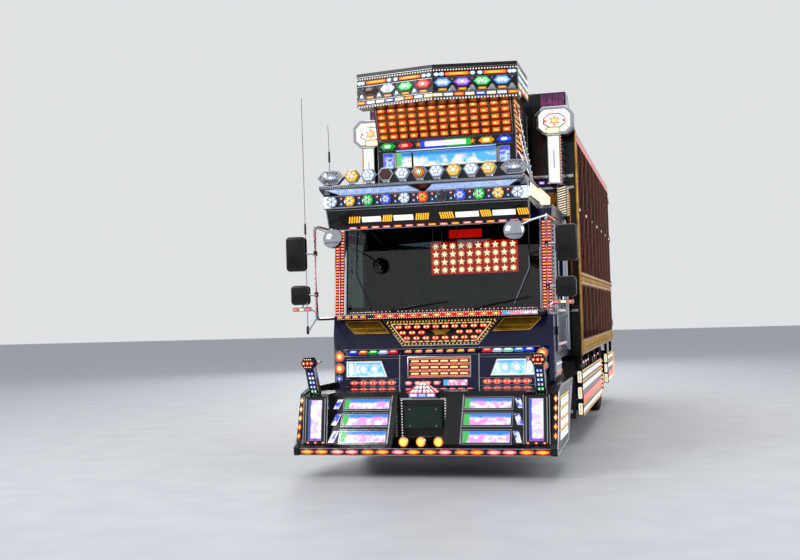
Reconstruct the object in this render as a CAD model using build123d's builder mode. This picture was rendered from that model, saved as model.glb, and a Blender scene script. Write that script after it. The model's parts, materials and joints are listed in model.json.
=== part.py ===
from build123d import *
import os

# Decorated cab-over truck with a box body, in millimetres, +Z up, front facing -Y.
# The origin lies on the ground under the middle of the truck's length.
# "Back" distances run from the bumper's front face towards the tail; "across" is X,
# positive on the truck's left side; "up" is height over the ground.
overall_length = 8400
bumper_half = 1150
cab_half = 1050
box_half = 1160
wall_thick = 30
sheet_thick = 40

# Running gear
tyre_radius = 420
front_axle_back = 1980
rear_axle_back = 6350
front_wheel_across = 895
rear_wheel_across = 830
twin_offset = 130
rim_radius = 224.9
king_pin_across = 790
spindle_radius = 35
rear_spindle_radius = 45
running_gap = 0.3

# Frame and load space
rail_outer = 425
rail_inner = 355
rail_low = 600
rail_top = 820
rail_front = 850
rail_end = 8050
floor_low = 920
floor_top = 1050
box_front = 2480
box_back = 8150
box_top = 3310
headboard_back = box_front + wall_thick
portal_front = 8090

# Cab
cab_low = 950
cab_front = 960
cab_back = 2300
cab_roof = 2400
sill_up = 1430
glass_top_up = 2262
glass_top_back = 1056
glass_half = 928
door_front = 1120
door_back = 2040
door_low = 1000
door_top = 2230
door_gap = 6
pivot_back = 800
pivot_up = 640

# Roof ornaments
deck_top = 2575
deck_front_low = (350, 2380)
deck_back_low = (1091, 2340)
tower_half = 690
tower_top = 3480
crown_half = 781
crown_top = 3745

front_face = -overall_length / 2

os.makedirs("parts", exist_ok=True)


def block(across, back, up, mode=Mode.ADD):
    """A box between two limits on each axis."""
    middle = (sum(across) / 2, front_face + sum(back) / 2, sum(up) / 2)
    with Locations(middle):
        Box(across[1] - across[0], back[1] - back[0], up[1] - up[0], mode=mode)


def side_slab(points, across, mode=Mode.ADD):
    """A side profile of (back, up) points, carried from one side to the other."""
    side = Plane(origin=(across[0], front_face, 0), x_dir=(0, 1, 0), z_dir=(1, 0, 0))
    with BuildSketch(side) as profile:
        with BuildLine():
            Polyline(*points, close=True)
        make_face()
    extrude(profile.sketch, amount=across[1] - across[0], mode=mode)


def front_slab(points, back, mode=Mode.ADD):
    """A front outline of (across, up) points, carried along the truck."""
    with BuildSketch(front_plane(0, back[1], 0)) as profile:
        with BuildLine():
            Polyline(*points, close=True)
        make_face()
    extrude(profile.sketch, amount=back[1] - back[0], mode=mode)


def plan_slab(points, up, mode=Mode.ADD):
    """A plan outline of (across, back) points, carried upwards."""
    with BuildSketch(Plane(origin=(0, front_face, up[0]))) as profile:
        with BuildLine():
            Polyline(*points, close=True)
        make_face()
    extrude(profile.sketch, amount=up[1] - up[0], mode=mode)


def front_plane(across, back, up):
    """A plane that faces forwards, with its own Y axis pointing up."""
    return Plane(origin=(across, front_face + back, up), x_dir=(1, 0, 0), z_dir=(0, -1, 0))


def rod(start, end, radius, mode=Mode.ADD):
    """A round bar between two (across, back, up) points."""
    foot = Vector(start[0], front_face + start[1], start[2])
    head = Vector(end[0], front_face + end[1], end[2])
    with BuildSketch(Plane(origin=foot, z_dir=head - foot)) as section:
        Circle(radius)
    extrude(section.sketch, amount=(head - foot).length, mode=mode)


def lean(low, high, up):
    """The back distance at a height on the straight line between two (back, up) points."""
    return low[0] + (high[0] - low[0]) * (up - low[1]) / (high[1] - low[1])


def raised_slab(low, high, ups, proud, across):
    """A flat slab of a given depth, proud of a leaning face between two heights."""
    foot = lean(low, high, ups[0])
    head = lean(low, high, ups[1])
    outline = [(foot, ups[0]), (head, ups[1]), (head - proud, ups[1]), (foot - proud, ups[0])]
    side_slab(outline, sorted(across))


# Frame rails: channels with spring hangers, cab pivots and the rear cab supports
front_spring_half = 650
rear_spring_half = 700
hanger_long = 28
front_eye_up = 520
rear_eye_up = 580
pivot_pin_radius = 20
flange = 8
web = rail_outer - flange
front_spring_across = (365, rail_outer)
rear_spring_across = (445, 515)
cab_rest_back = (2230, 2290)
cab_rest_low = 900

with BuildPart() as frame_rails:
    front_slab(
        [
            (rail_outer, rail_low),
            (rail_outer, rail_top),
            (rail_inner, rail_top),
            (rail_inner, rail_top - flange),
            (web, rail_top - flange),
            (web, rail_low + flange),
            (rail_inner, rail_low + flange),
            (rail_inner, rail_low),
        ],
        (rail_front, rail_end),
    )
    for side in (-1, 1):
        foot = front_axle_back + side * front_spring_half
        edges = sorted((foot + side * 2, foot + side * (hanger_long + 2)))
        block(front_spring_across, edges, (front_eye_up, rail_low))
        foot = rear_axle_back + side * rear_spring_half
        edges = sorted((foot + side * 2, foot + side * (hanger_long + 2)))
        block((rail_outer, rear_spring_across[1]), edges, (rear_eye_up, 720))
    block((rail_outer, 445), (750, 950), (rail_low, 670))
    rod((rail_outer, pivot_back, pivot_up), (500, pivot_back, pivot_up), pivot_pin_radius)
    block((rail_inner, rail_outer), cab_rest_back, (rail_top, cab_rest_low))
    mirror(about=Plane.YZ)
frame_rails.part.label = "frame_rails"
export_step(frame_rails.part, "parts/frame_rails.step")

# Cross-members between the rails, the cab's rear rest and the towing lug
crossmember_backs = (900, 2900, 3900, 4900, 5900, 7100, 8000)
crossmember_half = 30
crossmember_ups = (700, 800)
tow_half = 15
tow_hole_radius = 21
tow_eye = (8245, 357)
tow_lug = [
    (8030, 700),
    (8030, 790),
    (8190, 650),
    (8190, 395),
    (8290, 395),
    (8290, 320),
    (8110, 320),
    (8110, 600),
]

with BuildPart() as frame_crossmembers:
    block((-500, 500), cab_rest_back, (cab_rest_low, cab_low))
    for back in crossmember_backs:
        block((-web, web), (back - crossmember_half, back + crossmember_half), crossmember_ups)
    side_slab(tow_lug, (-tow_half, tow_half))
    rod((-tow_half, *tow_eye), (tow_half, *tow_eye), tow_hole_radius, mode=Mode.SUBTRACT)
frame_crossmembers.part.label = "frame_crossmembers"
export_step(frame_crossmembers.part, "parts/frame_crossmembers.step")

# Engine and gearbox as one plain mass between the rails
engine_half = 330
engine_end = 2000
gearbox_half = 180
gearbox_end = 2750

with BuildPart() as engine_block:
    block((-engine_half, engine_half), (1080, engine_end), (500, 1080))
    block((-gearbox_half, gearbox_half), (engine_end, gearbox_end), (520, 780))
    for side in (-1, 1):
        block(sorted((side * engine_half, side * web)), (1450, 1570), (640, 700))
engine_block.part.label = "engine_block"
export_step(engine_block.part, "parts/engine_block.step")

# Front axle: dropped beam with a fixed king pin at each end
beam_half = 35
boss_radius = 40
king_pin_radius = 18

with BuildPart() as front_axle:
    front_slab(
        [(0, 300), (590, 300), (690, 375), (760, 375), (760, 440), (660, 440), (560, 380), (0, 380)],
        (front_axle_back - beam_half, front_axle_back + beam_half),
    )
    pin_axis = (king_pin_across, front_axle_back)
    rod((*pin_axis, 365), (*pin_axis, 455), boss_radius)
    rod((*pin_axis, 318), (*pin_axis, 498), king_pin_radius)
    mirror(about=Plane.YZ)
front_axle.part.label = "front_axle"
export_step(front_axle.part, "parts/front_axle.step")

# Rear axle with its differential
shaft_front = (0, 2700, 645)
shaft_rear = (0, 6060, 430)

with BuildPart() as rear_axle:
    hub_line = (rear_axle_back, tyre_radius)
    # half width, radius of the casing, the spindles and the differential
    for half, radius in ((640, 60), (925, rear_spindle_radius), (130, 165)):
        rod((-half, *hub_line), (half, *hub_line), radius)
    rod((0, *hub_line), shaft_rear, 75)
    for side in (-1, 1):
        seat = sorted(side * edge for edge in rear_spring_across)
        block(seat, (rear_axle_back - 60, rear_axle_back + 60), (430, 480))
rear_axle.part.label = "rear_axle"
export_step(rear_axle.part, "parts/rear_axle.step")

# Propeller shaft from the gearbox back to the axle
shaft_radius = 45
shaft_trim = (-100, 100)

with BuildPart() as propeller_shaft:
    rod(shaft_front, shaft_rear, shaft_radius)
    block(shaft_trim, (2600, gearbox_end), (500, 800), mode=Mode.SUBTRACT)
    block(shaft_trim, (6050, 6110), (300, 560), mode=Mode.SUBTRACT)
propeller_shaft.part.label = "propeller_shaft"
export_step(propeller_shaft.part, "parts/propeller_shaft.step")


def leaf_pack(across, middle, half_span, seat_up, rise, thick):
    """A bowed spring pack with a flat eye block at each end."""
    eye_thick = 20
    side = Plane(origin=(across[0], front_face, 0), x_dir=(0, 1, 0), z_dir=(1, 0, 0))
    ends = (middle - half_span, middle + half_span)
    eye_low = seat_up + rise
    eye_high = eye_low + eye_thick
    with BuildSketch(side) as profile:
        with BuildLine():
            ThreePointArc((ends[0], eye_low), (middle, seat_up), (ends[1], eye_low))
            Line((ends[1], eye_low), (ends[1], eye_high))
            ThreePointArc((ends[1], eye_high), (middle, seat_up + thick), (ends[0], eye_high))
            Line((ends[0], eye_high), (ends[0], eye_low))
        make_face()
    extrude(profile.sketch, amount=across[1] - across[0])
    block(across, (ends[0] - hanger_long - 2, ends[0]), (eye_low, eye_high))
    block(across, (ends[1], ends[1] + hanger_long + 2), (eye_low, eye_high))


with BuildPart() as leaf_springs:
    leaf_pack(front_spring_across, front_axle_back, front_spring_half, 380, 120, 50)
    leaf_pack(rear_spring_across, rear_axle_back, rear_spring_half, 480, 80, 60)
    mirror(about=Plane.YZ)
leaf_springs.part.label = "leaf_springs"
export_step(leaf_springs.part, "parts/leaf_springs.step")

# Fuel tank on the left rail
with BuildPart() as fuel_tank:
    block((470, 1040), (2800, 3650), (380, 700))
    fillet(fuel_tank.edges().filter_by(Axis.Y), 60)
    for back in (2950, 3440):
        block((rail_outer, 480), (back, back + 60), (560, 630))
    rod((900, 3000, 690), (900, 3000, 730), 45)
fuel_tank.part.label = "fuel_tank"
export_step(fuel_tank.part, "parts/fuel_tank.step")

# Battery box, air tank and silencer along the right rail
pipe_radius = 45
with BuildPart() as chassis_boxes:
    block((-1040, -600), (2800, 3400), (420, 720))
    block((-600, -rail_outer), (3050, 3150), (640, 720))
    # across, up, back from, back to, radius, bracket back and bracket end of the two drums
    for across, up, start, end, radius, bracket, reach in (
        (-640, 600, 3550, 4350, 120, 3900, -560),
        (-680, 560, 4600, 5400, 150, 4960, -610),
    ):
        rod((across, start, up), (across, end, up), radius)
        block((reach, -rail_outer), (bracket, bracket + 60), (640, 690))
    rod((-680, 5390, 560), (-680, 5500, 560), pipe_radius)
    rod((-660, 5480, 560), (-1060, 5480, 540), pipe_radius)
chassis_boxes.part.label = "chassis_boxes"
export_step(chassis_boxes.part, "parts/chassis_boxes.step")

# Front bumper: leaning hollow face with a middle recess, outer pods and deep side plates
bumper_low = 200
bumper_top = 720
face_low = (60, 290)
face_high = (300, 690)
pod_high = (125, 700)
recess_across = -50
recess_half = 224
recess_low = 258
recess_wall = 20
recess_back = 330
bumper_back = 640
bumper_edge = (330, bumper_top)
arm_front = 290
foot_lamp_proud = 12
pod_across = (870, 1080)

with BuildPart() as front_bumper:
    skin_half = bumper_half - sheet_thick
    side_slab(
        [
            (foot_lamp_proud, bumper_low),
            (foot_lamp_proud, recess_low),
            face_low,
            face_high,
            bumper_edge,
            (bumper_back, bumper_top),
            (bumper_back, bumper_low),
        ],
        (-skin_half, skin_half),
    )
    side_slab(
        [(42, 230), (42, 250), (88, 285), (322, 675), (345, 692), (bumper_back, 692), (bumper_back, 230)],
        (-skin_half, skin_half),
        mode=Mode.SUBTRACT,
    )
    recess_outer = recess_half + recess_wall
    niche = (recess_across - recess_half, recess_across + recess_half)
    block(niche, (0, 400), (recess_low, 800), mode=Mode.SUBTRACT)
    niche_back = (recess_across - recess_outer, recess_across + recess_outer)
    block(niche_back, (recess_back, recess_back + recess_wall), (230, bumper_top))
    for side in (-1, 1):
        wall = sorted((recess_across + side * recess_half, recess_across + side * recess_outer))
        side_slab([(60, 230), face_low, face_high, bumper_edge, (340, 230)], wall)
        pod = sorted(side * edge for edge in pod_across)
        side_slab([face_low, pod_high, (180, bumper_top), (345, bumper_top)], pod)
        plate = sorted((side * skin_half, side * bumper_half))
        side_slab(
            [
                (0, bumper_low),
                (0, 265),
                (60, 300),
                (210, bumper_top),
                (420, 765),
                (1440, 765),
                (890, bumper_low + 30),
            ],
            plate,
        )
        arm = sorted((side * rail_inner, side * rail_outer))
        block(arm, (arm_front, rail_front), (rail_low, 650))
front_bumper.part.label = "front_bumper"
export_step(front_bumper.part, "parts/front_bumper.step")

# Lit panels, fog lamps and the little roofed lantern on the bumper
strip_ups = ((300, 395), (440, 535), (575, 660))
fog_acrosses = (-187, -32, 123)
fog_radius = 44
fog_up = 304
fog_back = (95, 170)
lantern_across = -38
lantern_half = 115
lantern_back = (235, recess_back)
lantern_low = 676
eaves_up = 716
ridge_up = 820
foot_lamp_acrosses = (137, 412, 687, 962)
foot_lamp_half = 129

with BuildPart() as bumper_lamps:
    for low, high in strip_ups:
        for side in (-1, 1):
            foot = lean(face_low, face_high, low)
            head = lean(face_low, face_high, high)
            outline = [(foot, low), (head, high), (head - 9, high + 5), (foot - 9, low + 5)]
            side_slab(outline, sorted((side * 336, side * 749)))
    for side in (-1, 1):
        foot = lean(face_low, pod_high, 318)
        head = lean(face_low, pod_high, 672)
        outline = [(foot, 318), (head, 672), (head - 10, 674), (foot - 10, 320)]
        side_slab(outline, sorted((side * 895, side * 1050)))
    for across in fog_acrosses:
        rod((across, fog_back[0], fog_up), (across, fog_back[1], fog_up), fog_radius)
        block((across - 20, across + 20), (100, 160), (230, fog_up))
    for across in foot_lamp_acrosses:
        for side in (-1, 1):
            middle = side * across
            foot_lamp = (middle - foot_lamp_half, middle + foot_lamp_half)
            block(foot_lamp, (0, foot_lamp_proud), (209, 255))
    lantern = (lantern_across - lantern_half, lantern_across + lantern_half)
    block(lantern, lantern_back, (lantern_low, eaves_up))
    eaves = (lantern_across - lantern_half - 20, lantern_across + lantern_half + 20)
    front_slab([(eaves[0], eaves_up), (eaves[1], eaves_up), (lantern_across, ridge_up)], lantern_back)
bumper_lamps.part.label = "bumper_lamps"
export_step(bumper_lamps.part, "parts/bumper_lamps.step")

# Corner poles: leaning posts with a hexagonal lamp head
pole_across = 1010
pole_half = 45
head_radius = 68
head_deep = 90

with BuildPart() as corner_poles:
    post = [(190, bumper_top), (70, 965), (120, 975), (250, bumper_top)]
    side_slab(post, (pole_across - pole_half, pole_across + pole_half))
    with BuildSketch(front_plane(pole_across, 115, 1000)) as head:
        RegularPolygon(head_radius, 6)
    extrude(head.sketch, amount=head_deep)
    mirror(about=Plane.YZ)
corner_poles.part.label = "corner_poles"
export_step(corner_poles.part, "parts/corner_poles.step")

# Steps between the bumper's side plates and the front wheels
tread_in = 985
tread_thick = 30
with BuildPart() as side_steps:
    # back from, back to, height of the tread
    for start, end, up in ((600, 1010, 330), (760, 1180, 500), (900, 1340, 660)):
        block((tread_in, bumper_half - sheet_thick), (start, end), (up, up + tread_thick))
        block((tread_in, tread_in + 15), (start, end), (up - 60, up))
    mirror(about=Plane.YZ)
side_steps.part.label = "side_steps"
export_step(side_steps.part, "parts/side_steps.step")

# Load floor and the two long sills that carry its bearers
floor_half = box_half - wall_thick
floor_under = 1000
with BuildPart() as cargo_floor:
    block((-floor_half, floor_half), (headboard_back, portal_front), (floor_under, floor_top))
    for side in (-1, 1):
        block(sorted((side * rail_inner, side * rail_outer)), (2600, rail_end), (rail_top, floor_low))
cargo_floor.part.label = "cargo_floor"
export_step(cargo_floor.part, "parts/cargo_floor.step")

# Cross-bearers between the floor and the sills
bearer_count = 12
bearer_pitch = 500
bearer_wide = 60
with BuildPart() as floor_bearers:
    for index in range(bearer_count):
        start = headboard_back + 20 + index * bearer_pitch
        block((-floor_half, floor_half), (start, start + bearer_wide), (floor_low, floor_under))
floor_bearers.part.label = "floor_bearers"
export_step(floor_bearers.part, "parts/floor_bearers.step")

# Front wall of the load space
with BuildPart() as cargo_headboard:
    block((-box_half, box_half), (box_front, headboard_back), (floor_low, box_top))
cargo_headboard.part.label = "cargo_headboard"
export_step(cargo_headboard.part, "parts/cargo_headboard.step")

# Side walls
for side, side_name in ((1, "left"), (-1, "right")):
    with BuildPart() as cargo_wall:
        limits = sorted((side * (box_half - wall_thick), side * box_half))
        block(limits, (headboard_back, portal_front), (floor_low, box_top - wall_thick))
    cargo_wall.part.label = f"cargo_wall_{side_name}"
    export_step(cargo_wall.part, f"parts/cargo_wall_{side_name}.step")

# Roof panel
with BuildPart() as cargo_roof:
    block((-box_half, box_half), (headboard_back, portal_front), (box_top - wall_thick, box_top))
cargo_roof.part.label = "cargo_roof"
export_step(cargo_roof.part, "parts/cargo_roof.step")

# Rear portal with the fixed halves of the door hinges
hinge_across = 1160
hinge_back = 8205
hinge_ups = (1150, 1750, 2450, 3050)
hinge_tall = 50
hinge_pin = 8
strap_back = 8217
door_inner = 4
lock_rod = (160, 8198)

with BuildPart() as cargo_rear_frame:
    block((-box_half, box_half), (portal_front, box_back), (floor_low, box_top))
    block((-1100, 1100), (8080, 8160), (floor_top, 3230), mode=Mode.SUBTRACT)
    for up in hinge_ups:
        for side in (-1, 1):
            lug = sorted((side * 1130, side * (hinge_across + 12)))
            block(lug, (box_back, strap_back), (up + hinge_tall + 5, up + hinge_tall + 35))
            pin_line = (side * hinge_across, hinge_back)
            rod((*pin_line, up - 5), (*pin_line, up + hinge_tall + 20), hinge_pin)
cargo_rear_frame.part.label = "cargo_rear_frame"
export_step(cargo_rear_frame.part, "parts/cargo_rear_frame.step")

# Rear doors with straps, lock rods and handles
for side, side_name in ((1, "left"), (-1, "right")):
    with BuildPart() as rear_door:
        block(sorted((side * door_inner, side * 1125)), (box_back + 5, box_back + 40), (1000, 3270))
        for up in hinge_ups:
            strap = sorted((side * 1040, side * (hinge_across + 12)))
            block(strap, (box_back + 40, strap_back), (up, up + hinge_tall))
            pin_line = (side * hinge_across, hinge_back)
            rod((*pin_line, up), (*pin_line, up + hinge_tall), hinge_pin + running_gap, mode=Mode.SUBTRACT)
        rod((side * lock_rod[0], lock_rod[1], 1010), (side * lock_rod[0], lock_rod[1], 3260), 13)
        block(sorted((side * lock_rod[0], side * 420)), (box_back + 40, 8214), (1580, 1610))
    rear_door.part.label = f"rear_door_{side_name}"
    export_step(rear_door.part, f"parts/rear_door_{side_name}.step")

# Corner lamp boxes and the cap box on the headboard
corner_front = cab_back + 10
octagon_across = 989
octagon_up = 3366
octagon_half = (192, 148)
octagon_cut = 72

with BuildPart() as headboard_lamps:
    block((920, 1050), (2080, box_front), (2700, 3200))
    wide, tall = octagon_half
    corners = [
        (wide - octagon_cut, tall),
        (octagon_cut - wide, tall),
        (-wide, tall - octagon_cut),
        (-wide, octagon_cut - tall),
        (octagon_cut - wide, -tall),
        (wide - octagon_cut, -tall),
        (wide, octagon_cut - tall),
        (wide, tall - octagon_cut),
    ]
    front_slab([(octagon_across + across, octagon_up + up) for across, up in corners], (2200, 2330))
    block((950, 1020), (2220, box_front), (3200, 3290))
    block((978, 1080), (corner_front, box_front), (2380, 2700))
    mirror(about=Plane.YZ)
    block((-1080, 1080), (2515, 2790), (box_top, 3722))
headboard_lamps.part.label = "headboard_lamps"
export_step(headboard_lamps.part, "parts/headboard_lamps.step")

# Marker strips along the roof edges
band_end = 8040
with BuildPart() as roof_markers:
    block((box_half, box_half + 15), (2610, band_end), (3215, 3265))
    mirror(about=Plane.YZ)
roof_markers.part.label = "roof_markers"
export_step(roof_markers.part, "parts/roof_markers.step")

# Gilt bands on the side walls: two rails, a deep bottom band and a corner post
band_front = 2572
with BuildPart() as side_bands:
    # depth, low edge, high edge
    for deep, low, high in ((18, 1680, 1705), (18, 1775, 1800), (8, 930, 1080)):
        block((box_half, box_half + deep), (band_front, band_end), (low, high))
    block((box_half, box_half + 12), (box_front, band_front - 2), (floor_low, box_top))
    mirror(about=Plane.YZ)
side_bands.part.label = "side_bands"
export_step(side_bands.part, "parts/side_bands.step")

# Lit side guards ahead of and behind the rear wheels, hung from the floor
guard_top = 760
with BuildPart() as side_guards:
    # back from, back to, low edge, hanger places
    for start, end, low, hangers in (
        (2620, 5560, 280, (2700, 3600, 4500, 5480)),
        (6960, 8180, 330, (7000, 8080)),
    ):
        block((1090, bumper_half), (start, end), (low, guard_top))
        for back in hangers:
            block((1100, 1140), (back, back + 40), (guard_top, floor_low))
    mirror(about=Plane.YZ)
side_guards.part.label = "side_guards"
export_step(side_guards.part, "parts/side_guards.step")

# Mudguards over the twin wheels and flaps behind all wheels
hoop_radius = 475
hoop_thick = 10
hoop_in = 600
hoop_out = 1085
flap_front = 2490

with BuildPart() as mudguards:
    hoop_middle = (hoop_in, front_face + rear_axle_back, tyre_radius)
    with BuildSketch(Plane(origin=hoop_middle, x_dir=(0, 1, 0), z_dir=(1, 0, 0))) as hoop:
        Circle(hoop_radius)
        Circle(hoop_radius - hoop_thick, mode=Mode.SUBTRACT)
        with Locations((0, -hoop_radius)):
            Rectangle(3 * hoop_radius, 2 * hoop_radius, mode=Mode.SUBTRACT)
    extrude(hoop.sketch, amount=hoop_out - hoop_in)
    hoop_back = rear_axle_back + hoop_radius
    block((hoop_in, hoop_out), (hoop_back - hoop_thick, hoop_back), (240, tyre_radius))
    block((rail_outer, hoop_in), (rear_axle_back - 30, rear_axle_back + 30), (885, 895))
    block((hoop_in, 1080), (flap_front, flap_front + 10), (260, 860))
    block((rail_outer, hoop_in), (flap_front, flap_front + 10), (640, 800))
    mirror(about=Plane.YZ)
mudguards.part.label = "mudguards"
export_step(mudguards.part, "parts/mudguards.step")

# Rear bumper, and the lamp panels raised on it
tail_front = 8200
tail_back = 8385
tail_ups = (400, 760)
with BuildPart() as rear_bumper:
    block((-bumper_half, bumper_half), (tail_front, tail_back), tail_ups)
    inside = bumper_half - wall_thick
    inside_ups = (tail_ups[0] + wall_thick, tail_ups[1] - wall_thick)
    block((-inside, inside), (tail_front, tail_back - wall_thick), inside_ups, mode=Mode.SUBTRACT)
    for side in (-1, 1):
        block(sorted((side * rail_inner, side * rail_outer)), (rail_end, 8360), (640, 700))
rear_bumper.part.label = "rear_bumper"
export_step(rear_bumper.part, "parts/rear_bumper.step")

with BuildPart() as tail_lamps:
    block((560, 1120), (tail_back, overall_length), (470, 690))
    mirror(about=Plane.YZ)
tail_lamps.part.label = "tail_lamps"
export_step(tail_lamps.part, "parts/tail_lamps.step")

# Cab shell: hollow body with engine tunnel, screen and door openings, pivot arms and hinge lugs
door_hinge = (1064, 1113)
door_hinge_ups = (1180, 1960)
door_strap_tall = 50
door_pin = 6
tilt_arm_across = (455, 495)
tunnel_top = 1190

with BuildPart() as cab_shell:
    side_slab(
        [
            (cab_front, cab_low),
            (cab_front, sill_up),
            (glass_top_back, glass_top_up),
            (1100, 2360),
            (1200, cab_roof),
            (cab_back, cab_roof),
            (cab_back, cab_low),
        ],
        (-cab_half, cab_half),
    )
    side_slab(
        [
            (cab_front + sheet_thick, cab_low + sheet_thick),
            (cab_front + sheet_thick, sill_up),
            (1094, 2255),
            (1130, 2330),
            (1210, cab_roof - sheet_thick),
            (cab_back - sheet_thick, cab_roof - sheet_thick),
            (cab_back - sheet_thick, cab_low + sheet_thick),
        ],
        (-cab_half + sheet_thick, cab_half - sheet_thick),
        mode=Mode.SUBTRACT,
    )
    block((-440, 440), (cab_front, cab_back), (cab_low, tunnel_top))
    block((-400, 400), (900, 2400), (900, tunnel_top - sheet_thick), mode=Mode.SUBTRACT)
    block((-glass_half, glass_half), (900, 1150), (sill_up, glass_top_up), mode=Mode.SUBTRACT)
    for side in (-1, 1):
        doorway = sorted((side * 1000, side * 1060))
        block(doorway, (door_front, door_back), (door_low, door_top), mode=Mode.SUBTRACT)
        arm = sorted(side * edge for edge in tilt_arm_across)
        side_slab([(750, 590), (850, 590), (1100, cab_low), (cab_front, cab_low)], arm)
        pin_line = (pivot_back, pivot_up)
        hole_radius = pivot_pin_radius + running_gap
        rod((side * 450, *pin_line), (side * 500, *pin_line), hole_radius, mode=Mode.SUBTRACT)
        for up in door_hinge_ups:
            lug = sorted((side * cab_half, side * 1074))
            block(lug, (1098, 1120), (up + door_strap_tall + 4, up + door_strap_tall + 24))
            pin_line = (side * door_hinge[0], door_hinge[1])
            rod((*pin_line, up - 4), (*pin_line, up + door_strap_tall + 14), door_pin)
cab_shell.part.label = "cab_shell"
export_step(cab_shell.part, "parts/cab_shell.step")

# Front panel under the screen, with cheeks and lower side skirts
nose_low = (760, 700)
nose_high = (800, 1030)
upper_low = (870, 1085)
upper_high = (936, 1372)
grille_half = 300
grille_ups = (812, 1012)

with BuildPart() as front_panel:
    skin = [nose_low, nose_high, upper_low, upper_high, (cab_front, 1372), (cab_front, 790), (800, 700)]
    side_slab(skin, (-cab_half, cab_half))
    side_slab(
        [
            (790, 690),
            (830, 1022),
            (902, 1076),
            (956, 1342),
            (cab_front, 1342),
            (cab_front, 780),
            (800, 690),
        ],
        (-cab_half + sheet_thick, cab_half - sheet_thick),
        mode=Mode.SUBTRACT,
    )
    block((-grille_half, grille_half), (760, 850), grille_ups, mode=Mode.SUBTRACT)
    for side in (-1, 1):
        corner = [
            (side * 960, 700),
            (side * 1100, 700),
            (side * 1100, 905),
            (side * cab_half, 905),
            (side * 960, 770),
        ]
        plan_slab(corner, (650, 1500), mode=Mode.SUBTRACT)
        skirt = sorted((side * (cab_half - sheet_thick), side * cab_half))
        block(skirt, (cab_front, 1470), (790, cab_low))
front_panel.part.label = "front_panel"
export_step(front_panel.part, "parts/front_panel.step")

# Grille with cross slots
slot_rows = 5
slot_pitch = 36
slot_tall = 20
slot_half = 280
with BuildPart() as grille:
    raised_slab(nose_low, nose_high, grille_ups, 14, (-grille_half, grille_half))
    raised_slab(nose_low, nose_high, grille_ups, -20, (-grille_half, grille_half))
    for row in range(slot_rows):
        low = grille_ups[0] + 18 + row * slot_pitch
        cut_end = 784 + row * 4
        block((-slot_half, slot_half), (740, cut_end), (low, low + slot_tall), mode=Mode.SUBTRACT)
grille.part.label = "grille"
export_step(grille.part, "parts/grille.step")

# Headlamps: raised trapezoids with a slanted inner edge
with BuildPart() as headlamps:
    raised_slab(nose_low, nose_high, (822, 980), 28, (478, 890))
    front_slab([(470, 815), (476, 815), (540, 990), (470, 990)], (700, 850), mode=Mode.SUBTRACT)
    mirror(about=Plane.YZ)
headlamps.part.label = "headlamps"
export_step(headlamps.part, "parts/headlamps.step")

# Trapezoid lamp panel over the grille
with BuildPart() as lamp_shield:
    raised_slab(upper_low, upper_high, (1104, 1353), 14, (-567, 567))
    for side in (-1, 1):
        wedge = [(side * 364, 1100), (side * 570, 1100), (side * 570, 1356), (side * 568.5, 1356)]
        front_slab(wedge, (800, 960), mode=Mode.SUBTRACT)
lamp_shield.part.label = "lamp_shield"
export_step(lamp_shield.part, "parts/lamp_shield.step")

# Lip under the screen
with BuildPart() as front_lip:
    lip_plan = [
        (947, 700),
        (620, 580),
        (-620, 580),
        (-947, 700),
        (-1000, 930),
        (-1000, cab_front),
        (1000, cab_front),
        (1000, 930),
    ]
    plan_slab(lip_plan, (1372, 1418))
front_lip.part.label = "front_lip"
export_step(front_lip.part, "parts/front_lip.step")

# Windscreen
with BuildPart() as windscreen:
    side_slab(
        [
            (cab_front + 12, sill_up),
            (cab_front + 20, sill_up),
            (glass_top_back + 20, glass_top_up),
            (glass_top_back + 12, glass_top_up),
        ],
        (-glass_half, glass_half),
    )
windscreen.part.label = "windscreen"
export_step(windscreen.part, "parts/windscreen.step")

# Visor deck over the screen, and the sun visor hung below it
deck_half = 930
with BuildPart() as visor_deck:
    side_slab(
        [
            deck_front_low,
            (350, 2500),
            (225, 2545),
            (225, deck_top),
            (1200, deck_top),
            (1200, cab_roof),
            (1100, 2360),
            deck_back_low,
        ],
        (-deck_half, deck_half),
    )
    block((900, 918), (1190, 2150), (cab_roof, deck_top + 15))
    mirror(about=Plane.YZ)
visor_deck.part.label = "visor_deck"
export_step(visor_deck.part, "parts/visor_deck.step")

with BuildPart() as sun_visor:
    drop = (deck_back_low[1] - deck_front_low[1]) / (deck_back_low[0] - deck_front_low[0])
    top_front = (400, deck_front_low[1] + drop * (400 - deck_front_low[0]))
    top_back = (440, deck_front_low[1] + drop * (440 - deck_front_low[0]))
    side_slab([top_front, top_back, (520, 2190), (485, 2190)], (-deck_half, deck_half))
sun_visor.part.label = "sun_visor"
export_step(sun_visor.part, "parts/sun_visor.step")

# Lamps of the deck: hexagons on top, long ones at the ends, and rounds on the front face
hex_pitch = 154
round_pitch = 169
hex_radius = 70
hex_flat = hex_radius * 3 ** 0.5 / 2
end_lamp_across = 830
end_lamp_half = 128
end_lamp_top = 72
with BuildPart() as deck_lamps:
    for index in range(-4, 5):
        with BuildSketch(front_plane(index * hex_pitch, 250, deck_top + hex_flat)) as lamp:
            RegularPolygon(hex_radius, 6)
        extrude(lamp.sketch, amount=55)
    for side in (-1, 1):
        middle = side * end_lamp_across
        outline = [
            (middle - end_lamp_half, 2652),
            (middle - end_lamp_top, 2727),
            (middle + end_lamp_top, 2727),
            (middle + end_lamp_half, 2652),
            (middle + end_lamp_top, deck_top),
            (middle - end_lamp_top, deck_top),
        ]
        front_slab(outline, (250, 310))
    for index in range(-5, 6):
        rod((index * round_pitch, 312, 2442), (index * round_pitch, 350, 2442), 52)
deck_lamps.part.label = "deck_lamps"
export_step(deck_lamps.part, "parts/deck_lamps.step")

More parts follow.
